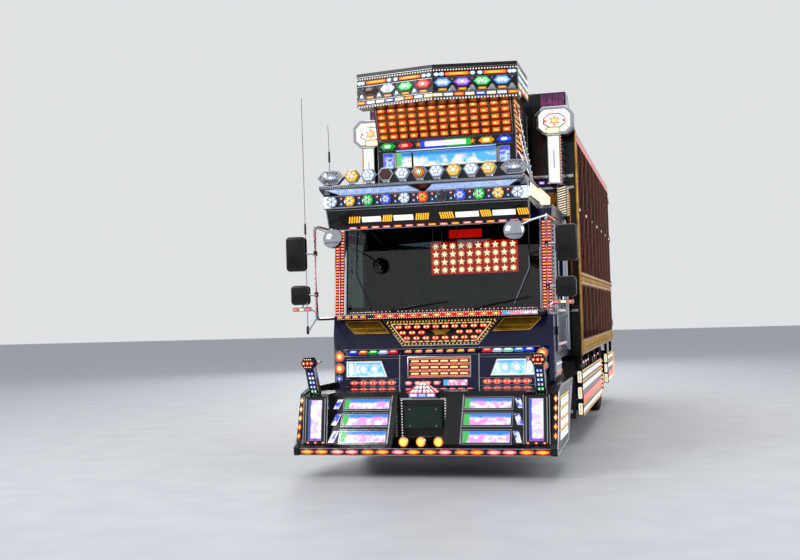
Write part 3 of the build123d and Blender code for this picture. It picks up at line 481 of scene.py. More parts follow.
def bar(width, height, corner=0.0, steps=4):
    """A rectangle with round corners."""
    if not corner:
        half, tall = width / 2, height / 2
        return [(-half, -tall), (half, -tall), (half, tall), (-half, tall)]
    points = []
    for quarter, (side, end) in enumerate(((1, -1), (1, 1), (-1, 1), (-1, -1))):
        middle = (side * (width / 2 - corner), end * (height / 2 - corner))
        for step in range(steps + 1):
            angle = math.pi / 2 * (quarter - 1 + step / steps)
            points.append((middle[0] + corner * math.cos(angle), middle[1] + corner * math.sin(angle)))
    return points


def slanted(width, height, shift):
    """A parallelogram whose top is moved sideways by shift."""
    half, tall, move = width / 2, height / 2, shift / 2
    return [(-half - move, -tall), (half - move, -tall), (half + move, tall), (-half + move, tall)]


def star(radius, points=5, inner=0.42):
    """A star with one point up."""
    outline = []
    for index in range(2 * points):
        reach = radius if index % 2 == 0 else radius * inner
        angle = math.pi / 2 + math.pi * index / points
        outline.append((reach * math.cos(angle), reach * math.sin(angle)))
    return outline


def shrunk(outline, inset):
    """An outline with every edge moved inwards."""
    if not inset:
        return list(outline)
    result = []
    count = len(outline)
    for index, point in enumerate(outline):
        here = Vector(point)
        into = (here - Vector(outline[index - 1])).normalized()
        out = (Vector(outline[(index + 1) % count]) - here).normalized()
        first = Vector((-into.y, into.x))
        second = Vector((-out.y, out.x))
        corner = here + (first + second) * inset / max(0.3, 1 + first.dot(second))
        result.append((corner.x, corner.y))
    return result


# Places: X along the face, Y up it and Z out of it


def placed(origin, x_dir, y_dir):
    """A placing matrix from an origin and two directions."""
    x_axis = Vector(x_dir).normalized()
    z_axis = x_axis.cross(Vector(y_dir)).normalized()
    y_axis = z_axis.cross(x_axis)
    turn = Matrix((x_axis, y_axis, z_axis)).transposed().to_4x4()
    return Matrix.Translation(Vector(origin)) @ turn


def front_at(across, back, up):
    """A place on an upright face that looks forwards."""
    return placed((across, back, up), (1, 0, 0), (0, 0, 1))


def rear_at(across, back, up):
    """A place on an upright face that looks backwards."""
    return placed((across, back, up), (-1, 0, 0), (0, 0, 1))


def side_at(across, back, up):
    """A place on the truck's left side, looking outwards."""
    return placed((across, back, up), (0, 1, 0), (0, 0, 1))


def top_at(across, back, up):
    """A place on a level face that looks up."""
    return placed((across, back, up), (1, 0, 0), (0, 1, 0))


def lean(low, high, up):
    """The back distance at a height on the line through two (back, up) points."""
    return low[0] + (high[0] - low[0]) * (up - low[1]) / (high[1] - low[1])


def slope_at(low, high, across, up):
    """A place on a leaning front face through two (back, up) points."""
    return placed((across, lean(low, high, up), up), (1, 0, 0), (0, high[0] - low[0], high[1] - low[1]))


class Piece:
    """Gathers the parts of one piece and turns them into one mesh object."""

    def __init__(self):
        self.points, self.marks, self.faces, self.paints = [], [], [], []

    def add(self, place, points, faces, paint, marks=None):
        """Adds placed points and faces in one finish."""
        start = len(self.points)
        self.points += [place @ Vector(point) for point in points]
        self.marks += marks or [(0.5, 0.5, 0.0)] * len(points)
        self.faces += [[start + corner for corner in face] for face in faces]
        self.paints += [paint] * len(faces)

    def stack(self, place, outline, levels, paint, peak=None, cap=True, base=None):
        """Rings of an outline at (inset, height, glow) levels, closed by a cap or a (height, glow) peak.

        A frame without a cap has no base either, so that what it surrounds stays in sight.
        """
        count = len(outline)
        low = [min(p[axis] for p in outline) for axis in (0, 1)]
        span = [max(p[axis] for p in outline) - low[axis] or 1 for axis in (0, 1)]
        points, marks = [], []

        def put(x, y, height, glow):
            points.append((x, y, height))
            marks.append(((x - low[0]) / span[0], (y - low[1]) / span[1], glow))

        for inset, height, *glow in levels:
            for x, y in shrunk(outline, inset):
                put(x, y, height, glow[0] if glow else 0.0)
        faces = []
        for ring in range(len(levels) - 1):
            for index in range(count):
                after = (index + 1) % count
                low_ring, high_ring = ring * count, (ring + 1) * count
                faces.append((low_ring + index, low_ring + after, high_ring + after, high_ring + index))
        last = (len(levels) - 1) * count
        if peak:
            middle = [sum(p[axis] for p in outline) / count for axis in (0, 1)]
            put(*middle, *peak)
            tip = len(points) - 1
            faces += [(last + index, last + (index + 1) % count, tip) for index in range(count)]
        elif cap:
            faces.append(tuple(last + index for index in range(count)))
        if cap if base is None else base:
            faces.append(tuple(reversed(range(count))))
        self.add(place, points, faces, paint, marks)

    def frame(self, place, outline, levels, paint="chrome"):
        """A rim of rings round an open middle."""
        self.stack(place, outline, levels, paint, cap=False)

    def inlay(self, place, outline, levels, paint, peak=None):
        """A lit or plain face that lies on what carries it, without a base of its own."""
        self.stack(place, outline, levels, paint, peak, base=False)

    def slab(self, place, width, height, depth, paint, edge=1.0, corner=0.0):
        """A plate that stands out of a face, with broken edges."""
        levels = [(0, 0), (0, depth - edge), (edge, depth)]
        self.stack(place, bar(width, height, corner), levels, paint)

    def lamp(self, place, outline, tall, lens, rim=5.0, bezel="chrome"):
        """A domed lens in a raised rim."""
        levels = [(0, 0), (0, tall * 0.5), (rim * 0.35, tall * 0.7), (rim, tall * 0.5)]
        self.frame(place, outline, levels, bezel)
        inner = shrunk(outline, rim)
        half = min(max(p[axis] for p in inner) - min(p[axis] for p in inner) for axis in (0, 1)) / 2
        levels = [(0, tall * 0.5, 0.0), (half * 0.25, tall * 0.85, 0.35)]
        self.inlay(place, inner, levels, lens, (tall, 1.0))

    def bead(self, place, size, lens):
        """A small round lamp without a rim."""
        levels = [(0, 0, 0.2), (size * 0.12, size * 0.35, 0.7)]
        self.inlay(place, ngon(size, size, 8), levels, lens, (size * 0.45, 1.0))

    def star_lamp(self, place, outline, tall, lens, mark="white", rim=7.0):
        """A faceted lens in a chrome rim, with a bright star on it."""
        self.lamp(place, outline, tall, lens, rim)
        reach = min(max(p[axis] for p in outline) for axis in (0, 1)) * 0.62
        lifted = place @ Matrix.Translation((0, 0, tall * 0.86))
        self.inlay(lifted, star(reach * 1.25, 5, 0.5), [(0, 0), (1, tall * 0.18)], "case")
        lifted = lifted @ Matrix.Translation((0, 0, tall * 0.16))
        levels = [(0, 0, 0.6), (reach * 0.1, tall * 0.2, 1.0)]
        self.inlay(lifted, star(reach * 0.95), levels, mark, (tall * 0.3, 1.0))

    def spoke_lamp(self, place, size, tall, lens, spokes=6):
        """A round lens divided by radial ribs."""
        self.lamp(place, ngon(size, size, 20), tall, lens, rim=size * 0.08)
        for index in range(spokes):
            turn = Matrix.Rotation(2 * math.pi * (index + 0.5) / spokes, 4, "Z")
            rib = place @ turn @ Matrix.Translation((size * 0.22, 0, tall * 0.55))
            self.slab(rib, size * 0.4, size * 0.055, tall * 0.5, "dim_lens", 1.0)

    def tube(self, path, radius, paint, sides=10):
        """A round bar along (across, back, up) points."""
        path = [Vector(point) for point in path]
        steps = [(after - before).normalized() for before, after in zip(path, path[1:])]
        up = Vector((0, 0, 1)) if abs(steps[0].z) < 0.9 else Vector((1, 0, 0))
        points = []
        for index, point in enumerate(path):
            into, out = steps[max(index - 1, 0)], steps[min(index, len(steps) - 1)]
            along = (into + out).normalized()
            first = along.cross(up).normalized()
            second = along.cross(first)
            widen = 1 / max(0.5, along.dot(out))
            for side in range(sides):
                angle = 2 * math.pi * side / sides
                offset = first * math.cos(angle) + second * math.sin(angle)
                points.append(point + offset * radius * (widen if 0 < index < len(path) - 1 else 1))
        faces = []
        for ring in range(len(path) - 1):
            for side in range(sides):
                after = (side + 1) % sides
                base, over = ring * sides, (ring + 1) * sides
                faces.append((base + side, over + side, over + after, base + after))
        faces.append(tuple(range(sides)))
        faces.append(tuple(reversed(range(len(points) - sides, len(points)))))
        self.add(Matrix(), points, faces, paint)

    def lathe(self, place, profile, paint, sides=32, glow=None):
        """A (radius, height) profile turned round the place's Z axis, from its start to its end."""
        points, marks = [], []
        for index, (radius, height) in enumerate(profile):
            light = glow[index] if glow else 0.0
            for side in range(sides):
                angle = 2 * math.pi * side / sides
                points.append((radius * math.cos(angle), radius * math.sin(angle), height))
                marks.append((0.5, 0.5, light))
        faces = []
        for ring in range(len(profile) - 1):
            for side in range(sides):
                after = (side + 1) % sides
                low, high = ring * sides, (ring + 1) * sides
                faces.append((low + side, low + after, high + after, high + side))
        self.add(place, points, faces, paint, marks)

    def mirror(self):
        """Adds the same parts on the other side of the truck."""
        count = len(self.points)
        self.points += [Vector((-p.x, p.y, p.z)) for p in self.points]
        self.marks += [(1 - u, v, glow) for u, v, glow in self.marks]
        self.faces += [[count + corner for corner in reversed(face)] for face in self.faces]
        self.paints += list(self.paints)

    def swap(self):
        """Moves the parts to the other side of the truck."""
        self.points = [Vector((-p.x, p.y, p.z)) for p in self.points]
        self.faces = [face[::-1] for face in self.faces]

    def finish(self, name, body, slot, *replaced, crease=35):
        """Makes the mesh object, and says what it rides on and what it stands for; the slot is not used."""
        mesh = bpy.data.meshes.new(name)
        places = [(p.x * MM, (FRONT + p.y) * MM, p.z * MM) for p in self.points]
        mesh.from_pydata(places, [], self.faces)
        used = sorted(set(self.paints))
        for paint in used:
            mesh.materials.append(MATERIALS[paint])
        mesh.polygons.foreach_set("material_index", [used.index(paint) for paint in self.paints])
        mesh.polygons.foreach_set("use_smooth", [True] * len(mesh.polygons))
        carried = mesh.attributes.new("mark", "FLOAT_VECTOR", "POINT")
        carried.data.foreach_set("vector", [value for mark in self.marks for value in mark])
        mesh.set_sharp_from_angle(angle=math.radians(crease))
        mesh.update()
        made = linked(name, mesh)
        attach(made, body)
        if replaced:
            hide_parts(*replaced)
        return made


# Sizes and colours that a user would change


class TruckColours(bpy.types.PropertyGroup):
    """Colours of paint, trim and lamps."""

    cab_paint: bpy.props.FloatVectorProperty(
        name="Cab paint", description="Lacquer of the cab", subtype="COLOR", default=linear("#05083a")
    )
    lacquer: bpy.props.FloatVectorProperty(
        name="Trim lacquer", description="Black of the bumper and visor", subtype="COLOR",
        default=linear("#08080b")
    )
    gilt: bpy.props.FloatVectorProperty(
        name="Gilt", description="Pressed gilt bands and plates", subtype="COLOR", default=linear("#e0a83e")
    )
    seat_cloth: bpy.props.FloatVectorProperty(
        name="Seat cloth", description="Woven cloth of the seats", subtype="COLOR", default=linear("#7c1428")
    )
    orange: bpy.props.FloatVectorProperty(
        name="Orange lens", description="Rim of the tower's lenses", subtype="COLOR",
        default=linear("#ff3c08")
    )
    red: bpy.props.FloatVectorProperty(
        name="Red lens", description="Rim of the red lenses", subtype="COLOR", default=linear("#f0102a")
    )
    blue: bpy.props.FloatVectorProperty(
        name="Blue lens", description="Rim of the blue lenses", subtype="COLOR", default=linear("#1440ff")
    )


class TruckSizes(bpy.types.PropertyGroup):
    """Counts and sizes of the repeated details, in metres."""

    tread_depth: bpy.props.FloatProperty(
        name="Tread depth", description="Depth of the tyres' grooves", default=0.012, subtype="DISTANCE",
        unit="LENGTH"
    )
    reed_pitch: bpy.props.FloatProperty(
        name="Reed pitch", description="Distance between the box side's reeds", default=0.19,
        subtype="DISTANCE", unit="LENGTH"
    )
    tower_columns: bpy.props.IntProperty(
        name="Tower columns", description="Lamps across the tower's grid", default=13, min=3
    )
    tower_rows: bpy.props.IntProperty(
        name="Tower rows", description="Lamps up the tower's grid", default=5, min=1
    )
    round_lamps: bpy.props.IntProperty(
        name="Round lamps", description="Spoked lamps over the visor", default=11, min=3
    )


def colours():
    """The colours set in the panel."""
    return bpy.context.scene.truck_colours


def sizes():
    """The sizes set in the panel."""
    return bpy.context.scene.truck_sizes


# Stage


def linked(name, data):
    """A new object in the scene."""
    made = bpy.data.objects.new(name, data)
    bpy.context.scene.collection.objects.link(made)
    return made


def area_lamp(name, place, target, size, power):
    """A soft square lamp at a place in metres that looks at a target."""
    data = bpy.data.lights.new(name, "AREA")
    data.shape = "SQUARE"
    data.size = size
    data.energy = power
    lamp = linked(name, data)
    lamp.location = place
    lamp.rotation_euler = (Vector(target) - Vector(place)).to_track_quat("-Z", "Y").to_euler()


def build_world():
    """A pale backdrop for what is seen, mirrored or looked through, and an even studio light elsewhere."""
    world = bpy.data.worlds.new("studio")
    bpy.context.scene.world = world
    world.use_nodes = True
    tree = world.node_tree
    tree.nodes.clear()
    path = add_node(tree, "ShaderNodeLightPath").outputs
    seen = math_of(tree, "MAXIMUM", path["Is Camera Ray"], path["Is Glossy Ray"])
    seen = math_of(tree, "MAXIMUM", seen, path["Is Transmission Ray"])
    backdrop, soft = [
        add_node(tree, "ShaderNodeBackground", {"Color": rgba(code), "Strength": strength}).outputs[0]
        for code, strength in (("#e6e8ea", 0.94), ("#dfe4ee", 0.42))
    ]
    both = add_node(tree, "ShaderNodeMixShader", {0: seen, 1: soft, 2: backdrop})
    add_node(tree, "ShaderNodeOutputWorld", {"Surface": both.outputs[0]})


# The photographed view: the camera's place in metres, its lens, and its turns from level and straight

CAMERA_PLACE = (2.134, -13.051, 1.400)
CAMERA_LENS = 48.0
CAMERA_TURNS = (("Z", 0.252), ("X", 0.033), ("Y", 0.029))

# Half the floor's width in metres

FLOOR_REACH = 60.0

# Each lamp's name, place, target, size and power, in metres and watts

STUDIO_LAMPS = (
    ("key_lamp", (-7.5, -11.0, 8.5), (0, -2.5, 1.6), 6.0, 560),
    ("fill_lamp", (9.5, -7.0, 5.5), (0.8, -1.0, 1.6), 6.0, 360),
    ("top_lamp", (0.0, 1.0, 11.0), (0, 0.5, 0), 9.0, 620),
    ("rear_lamp", (-4.0, 13.0, 6.5), (0, 4.0, 1.6), 6.0, 420),
)


def build_stage():
    """The pale floor, the light and the camera at the photographed angle."""
    scene = bpy.context.scene
    scene.view_settings.view_transform = "Standard"
    build_world()
    mesh = bpy.data.meshes.new("studio_floor")
    corners = [(x * FLOOR_REACH, y * FLOOR_REACH, 0) for x, y in ((-1, -1), (1, -1), (1, 1), (-1, 1))]
    mesh.from_pydata(corners, [], [(0, 1, 2, 3)])
    floor = linked("studio_floor", mesh)
    tone = ((400, 4), (0.3, "#dcdee1"), (0.7, "#d2d4d8"))
    mesh.materials.append(surface("painted_studio_floor", {"Roughness": 0.55, "IOR": 1.5}, tone))
    for lamp in STUDIO_LAMPS:
        area_lamp(*lamp)
    data = bpy.data.cameras.new("camera")
    data.lens = CAMERA_LENS
    data.sensor_width = 36.0
    data.clip_end = 200
    camera = linked("camera", data)
    turns = [Matrix.Rotation(angle, 4, axis) for axis, angle in CAMERA_TURNS]
    level = Matrix.Rotation(math.radians(90), 4, "X")
    camera.matrix_world = Matrix.Translation(CAMERA_PLACE) @ turns[0] @ turns[1] @ turns[2] @ level
    scene.camera = camera


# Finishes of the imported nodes

SLOT_FINISHES = {
    "frame_black": "chassis",
    "axle_iron": "iron",
    "tyre_rubber": "tyre",
    "wheel_chrome": "chrome",
    "tank_aluminium": "aluminium",
    "gloss_black": "black",
    "cab_blue": "navy",
    "chrome_trim": "chrome",
    "mirror_bronze": "bronze",
    "gilt": "gilt_plain",
    "roof_white": "roof",
    "floor_wood": "boards",
    "mud_rubber": "flap",
    "lamp_white": "print_white",
    "lamp_amber": "orange",
    "lamp_red": "red",
    "head_lens": "headlamp",
    "clear_glass": "glass",
    "dash_plastic": "plastic",
    "seat_cloth": "cloth",
    "tower_shell": "case",
}


# Nodes whose sheet is finished darker than the rest of their slot
NODE_FINISHES = {
    "tower_crown": "black",
    # The visor deck and the corner poles take the dark-tinted mirror sheet: painted shade and dark reflection
    "visor_deck": "smoked",
    "front_lip": "black",
    "corner_poles": "smoked",
    "side_guards": "black",
    "headboard_lamps": "black",
    "cargo_headboard": "black",
}


def finish_nodes():
    """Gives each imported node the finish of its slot, or its own."""
    MATERIALS.update(build_materials(colours()))
    for row in frame["record"]["subparts"]:
        node = frame["nodes"][row["node"]]
        finish = NODE_FINISHES.get(row["node"], SLOT_FINISHES[row["material_slot"]])
        node.data.materials.clear()
        node.data.materials.append(MATERIALS[finish])


# Each side of the truck with its name

SIDES = ((1, "left"), (-1, "right"))

# Half widths at the flanks, and distances back of the faces that look forwards or backwards

BUMPER_SIDE = 1150
CAB_SIDE = 1050
BOX_SIDE = 1160
TOWER_SIDE = 690
CROWN_SIDE = 781
HEADBOARD_FACE = 2480
CAP_FACE = 2515
CAB_REAR = 2300
DOOR_FACE = 8190
PORTAL_FACE = 8150
TAIL_FACE = 8385

# The wheels' middle planes, their tyres' radius and half width

WHEEL_PLANES = {"front": 895, "rear": 830}
TYRE_RADIUS = 420

# Lines of the leaning front faces, as (back, up) at their foot and head

BUMPER_FACE = ((60, 290), (300, 690))
POD_FACE = ((60, 290), (125, 700))
PANEL_FACE = ((760, 700), (800, 1030))
BROW_FACE = ((800, 1030), (870, 1085))
SHIELD_FACE = ((870, 1085), (936, 1372))
SCREEN_FACE = ((972, 1430), (1068, 2262))
CAB_FACE = ((960, 1430), (1056, 2262))
VISOR_FACE = ((485, 2190), (400, 2377))
GRID_FACE = ((1380, 3130), (1255, 3470))
ROW_FACE = ((1400, 2850), (1380, 3130))
CROWN_MIDDLE = (0, 880)
CROWN_CORNER = (781, 1015)


def on_face(face, acrosses, ups):
    """The place in the middle of a patch of a leaning face, with its width and its height."""
    low, high = face
    middle = slope_at(low, high, sum(acrosses) / 2, sum(ups) / 2)
    stretch = math.hypot(high[0] - low[0], high[1] - low[1]) / abs(high[1] - low[1])
    return middle, abs(acrosses[1] - acrosses[0]), abs(ups[1] - ups[0]) * stretch


def crown_at(across, up):
    """A place on the crown's face, which is a shallow V in plan."""
    reach, depth = CROWN_CORNER[0], CROWN_CORNER[1] - CROWN_MIDDLE[1]
    back = CROWN_MIDDLE[1] + depth * abs(across) / reach
    return placed((across, back, up), (reach, math.copysign(depth, across), 0), (0, 0, 1))


def raised(place, height):
    """A place moved out of its face."""
    return place @ Matrix.Translation((0, 0, height))


def shifted(place, across, up, out=0):
    """A place moved within its face, and out of it."""
    return place @ Matrix.Translation((across, up, out))


def turned(place, angle):
    """A place turned within its face."""
    return place @ Matrix.Rotation(angle, 4, "Z")


def around(place, radius, count, start=0.0):
    """Places on a circle within a face, from a share of the first step."""
    angles = [2 * math.pi * (index + start) / count for index in range(count)]
    return [shifted(place, radius * math.cos(a), radius * math.sin(a)) for a in angles]


def flank_at(side, across, back, up):
    """A place on the left (1) or the right (-1) side; a negative across looks inwards instead."""
    return placed((side * across, back, up), (0, side, 0), (0, 0, 1))


def flipped(outline):
    """An outline mirrored left to right."""
    return [(-x, y) for x, y in reversed(outline)]


def spread(first, last, count):
    """Even places from the first to the last."""
    return [first + (last - first) * index / (count - 1) for index in range(count)]


def lit_panel(piece, place, outline, depth, paint, rim=6.0, frame_paint="chrome"):
    """A lit panel that lies a little back in a polished frame."""
    levels = [(0, 0), (0, depth - 1), (1, depth), (rim - 1, depth), (rim, depth * 0.55)]
    piece.frame(place, outline, levels, frame_paint)
    piece.inlay(raised(place, depth * 0.55), shrunk(outline, rim), [(0, 0)], paint)


def lit_cell(piece, place, outline, tall, paint, rim=5.0, frame_paint="case"):
    """A lit cell that stands proud of a thin frame, so that it also shows along the face."""
    piece.frame(place, outline, [(0, 0), (0, tall * 0.4), (rim, tall * 0.5)], frame_paint)
    levels = [(0, tall * 0.4, 0.2), (tall * 0.2, tall, 0.8)]
    piece.inlay(place, shrunk(outline, rim), levels, paint)


# Bumper


def build_bumper_lamps():
    """Lit strips, pod panels, fog lamps, foot lamps and the roofed lantern of the bumper."""
    lamps = Piece()
    for low, high in ((300, 395), (440, 535), (575, 660)):
        place, width, height = on_face(BUMPER_FACE, (336, 749), (low, high))
        lit_panel(lamps, place, bar(width, height, 4), 10, "print_strip")
        place, width, height = on_face(BUMPER_FACE, (764, 858), (low, high))
        lit_panel(lamps, place, slanted(52, height, -36), 9, "print_slant", 4)
    place, width, height = on_face(POD_FACE, (903, 1047), (318, 672))
    lamps.slab(place, width + 34, height + 30, 4, "case", 2)
    lit_panel(lamps, raised(place, 3), bar(width - 22, height, 3), 10, "print_pod", 5)
    for across in (-1, 1):
        lamps.slab(shifted(place, across * (width / 2 + 16), 0), 9, height + 26, 12, "chrome", 3)
    for index, across in enumerate(spread(137, 962, 4)):
        place = front_at(across, 12, 232)
        lamps.stack(place, bar(258, 46, 4), [(0, 0), (0, 2)], "case")
        for bulb in (-1, 1):
            paint = "orange" if index in (1, 3) or bulb * (index - 2) > 0 else "rose"
            lamps.lamp(shifted(place, bulb * 65, 0), ngon(126, 46, 20), 12, paint, 4)
    for across in (880, 950, 1020):
        lamps.stack(
            slope_at(*POD_FACE, across + 20, 304), ngon(34, 22, 4), [(0, 0, 0.2), (3, 5, 0.7)], "red",
            (7, 1.0)
        )
    lamps.mirror()
    for across in (-187, -32, 123):
        place = front_at(across, 170, 304)
        lamps.lathe(place, [(20, 0), (40, 8), (45, 40), (45, 54), (42, 57), (40, 52)], "chrome")
        lamps.lathe(place, [(42, 50), (36, 60), (22, 69), (0.1, 74)], "fog", 32, [0.0, 0.35, 0.9, 1.0])
        lamps.slab(front_at(across, 150, 266), 30, 72, 22, "chrome", 3)
    build_lantern(lamps)
    lamps.finish("bumper_lamp_set", "chassis", "lamp_white", "bumper_lamps")


def build_lantern(piece):
    """The little lit lantern with its hipped lattice roof, which hangs in the bumper's niche."""
    middle, low, eave, ridge = -38, 676, 716, 820
    piece.slab(top_at(middle, 284, low), 236, 98, 4, "chrome", 2)
    for across in (-78, 0, 78):
        place = front_at(middle + across, 240, low + 21)
        lit_panel(piece, place, bar(70, 32, 3), 5, "print_white" if across else "print_ice", 4, "blue")
    piece.stack(top_at(middle, 287, low + 4), bar(226, 84), [(0, 0), (0, 36)], "case")
    for across in (-117, -39, 39, 117):
        piece.slab(front_at(middle + across, 242, low + 20), 7, 40, 7, "chrome", 2)
    left, right = middle - 135, middle + 135
    corners = [
        (left, 235, eave), (right, 235, eave), (right, 330, eave), (left, 330, eave), (middle, 300, ridge)
    ]
    piece.add(Matrix(), corners, [(3, 2, 1, 0), (0, 1, 4), (2, 3, 4), (1, 2, 4), (3, 0, 4)], "black")
    rise = ridge - eave
    roof = placed((middle, 235, eave), (1, 0, 0), (0, 65, rise))
    climb = math.hypot(65, rise)
    for side in (-1, 1):
        for row in range(3):
            low_edge, high_edge = climb * (0.04 + row * 0.3), climb * (0.28 + row * 0.3)
            reach = [126 * (1 - edge / climb) for edge in (low_edge, high_edge)]
            for part in range(3 - row):
                span = [(0.06 + 0.94 * share / (3 - row)) for share in (part, part + 0.8)]
                outline = [
                    (side * span[0] * reach[0], low_edge),
                    (side * span[1] * reach[0], low_edge),
                    (side * span[1] * reach[1], high_edge),
                    (side * span[0] * reach[1], high_edge),
                ]
                outline = outline if side > 0 else outline[::-1]
                piece.inlay(roof, outline, [(0, 0, 0.2), (1, 3, 0.8)], "print_lattice")
        slope = placed((middle + side * 135, 282, eave), (0, side, 0), (-side * 135, 0, rise))
        piece.inlay(slope, [(-40, 4), (40, 4), (14, 150)], [(0, 0, 0.2), (2, 2, 0.8)], "print_lattice")
        piece.tube([(middle + side * 135, 234, eave + 2), (middle, 300, ridge)], 3.5, "rose", 6)
        piece.tube([(middle + side * 135, 234, eave + 2), (middle, 234, eave + 2)], 3.5, "rose", 6)


def build_bumper_trim():
    """Polished frames, the blank plate with its surround, and the bumper's side rows."""
    trim = Piece()
    for low, high in ((290, 406), (430, 546), (566, 670)):
        place, width, height = on_face(BUMPER_FACE, (326, 759), (low, high))
        outline = bar(width + 8, height + 6, 5)
        trim.frame(place, outline, [(0, 0), (0, 5), (2, 7), (6, 7), (8, 3)])
    place, _, height = on_face(BUMPER_FACE, (318, 322), (292, 690))
    trim.slab(place, 9, height, 10, "chrome", 3)
    for across in (866, 1084):
        place, _, height = on_face(POD_FACE, (across - 4, across + 4), (292, 700))
        trim.slab(place, 8, height, 9, "chrome", 3)
    place = front_at(548, 10, 202)
    trim.slab(shifted(place, 0, 2), 1100, 6, 8, "chrome", 2)
    trim.slab(shifted(place, 0, 58), 1100, 5, 8, "chrome", 2)
    rows = ((300, 372), (395, 462), (486, 553), (577, 644))
    for low, high in rows:
        shift = 0.42 * (high + low) / 2
        for start in spread(170 + shift, 690 + shift, 5):
            place = side_at(BUMPER_SIDE, start, (low + high) / 2)
            for part in (-42, 0, 42):
                lit_cell(trim, shifted(place, part, 0), slanted(38, high - low, 22), 4, "print_white", 2)
        for back in spread(110 + shift, 800 + shift, 17):
            trim.stack(
                side_at(BUMPER_SIDE, back, high + 12), slanted(24, 11, 9), [(0, 0, 0.1), (2, 3, 0.4)],
                "yellow"
            )
    for share in spread(0.14, 0.86, 5):
        spot = (1130, 60 + 150 * share, 300 + 420 * share)
        edge = placed(spot, (1, 0, 0), (0, 150, 420))
        trim.stack(
            edge, ngon(36, 66, 4), [(0, 0, 0.1), (7, 6, 0.6)], "orange" if share < 0.5 else "amber",
            (9, 1.0)
        )
    upper = [(12, 212), (12, 262), (68, 305), (216, 712), (422, 756), (1420, 757)]
    lower = [(20, 208), (880, 238), (1420, 750)]
    for edge, radius in ((upper, 7), (lower, 8)):
        trim.tube([(BUMPER_SIDE, back, up) for back, up in edge], radius, "chrome")
    trim.mirror()
    trim.finish("bumper_frames", "chassis", "chrome_trim")
    niche = Piece()
    place = front_at(-50, 330, 490)
    lit = bar(430, 350, 6)
    niche.frame(place, lit, [(0, 0), (0, 6), (4, 8), (14, 8), (16, 4)])
    niche.inlay(place, shrunk(lit, 16), [(0, 4), (6, 4)], "case")
    niche.stack(
        shifted(place, 0, 6, 24), bar(350, 200, 10), [(0, 0), (0, 6), (3, 8), (7, 8), (9, 6)], "plate"
    )
    for side in (-1, 1):
        for up in (-1, 1):
            niche.lathe(shifted(place, side * 120, 6 + up * 72, 26), [(6, 6), (6, 8), (0.1, 9)], "chrome", 12)
        for up in spread(-156, 156, 14):
            niche.bead(shifted(place, side * 196, up, 4), 11, "warm_white")
    niche.finish("plate_niche", "chassis", "gloss_black")


# Corner poles and steps


def build_corner_poles():
    """Posts at the bumper's corners with their six-sided lamp heads."""
    post = Piece()
    low, high = (190, 720), (70, 965)
    profile = [low, (250, 720), (120, 975), high]
    post.stack(side_at(965, 0, 0), profile, [(0, 0), (4, 4), (4, 86), (0, 90)], "black")
    for across in (968, 1052):
        place = slope_at(low, high, across, 842)
        post.slab(place, 8, 268, 8, "chrome", 2)
    for up, paint in ((748, "green"), (788, "blue"), (828, "sky"), (868, "white"), (908, "blue")):
        for across in (996, 1024):
            post.lamp(slope_at(low, high, across, up), bar(24, 30, 5), 8, paint, 3)
    place = front_at(1010, 25, 1000)
    head = ngon(136, 118, 6)
    post.stack(raised(place, -90), head, [(3, 0), (0, 3), (0, 84), (4, 90)], "case")
    post.inlay(raised(place, -2), shrunk(head, 10), [(0, 0, 0.0), (3, 2, 0.1)], "ember")
    for across in (-36, 0, 36):
        post.lamp(shifted(place, across, 0), ngon(30, 30, 12), 9, "amber", 3)
    for up in (-34, 34):
        for across in spread(-26, 26, 4):
            post.bead(shifted(place, across, up, -4), 12, "warm_white")
    place = front_at(925, 80, 1004)
    post.stack(place, bar(34, 34, 4), [(0, -30), (0, 0), (3, 2), (7, 2), (8, 0)], "chrome")
    post.lamp(place, bar(22, 22, 5), 7, "red", 3)
    post.mirror()
    post.finish("corner_pole_lamps", "chassis", "lamp_amber", "corner_poles")


def build_steps():
    """Treads, studs and lit edges of the cab steps."""
    steps = Piece()
    for start, end, up in ((600, 1010, 330), (760, 1180, 500), (900, 1340, 660)):
        middle, length = (start + end) / 2, end - start
        for across in spread(1002, 1094, 5):
            for back in spread(start + 24, end - 24, 12):
                steps.lathe(top_at(across, back, up + 30), [(6, 0), (5, 3), (0.1, 4)], "chrome", 6)
        steps.tube([(1114, start, up + 15), (1114, end, up + 15)], 13, "chrome")
        for back in spread(start + 30, end - 30, 9):
            steps.bead(side_at(1127, back, up + 15), 17, "red")
        place = top_at(1048, middle, up + 30)
        steps.frame(place, bar(122, length - 6, 8), [(0, 0), (0, 4), (3, 5), (6, 3)], "aluminium")
    steps.mirror()
    steps.finish("step_treads", "chassis", "chrome_trim")


# Front panel


MARKS_LEFT = ("red", "white", "mint", "sky", "blue")
MARKS_RIGHT = ("red", "white", "green", "amber", "blue")


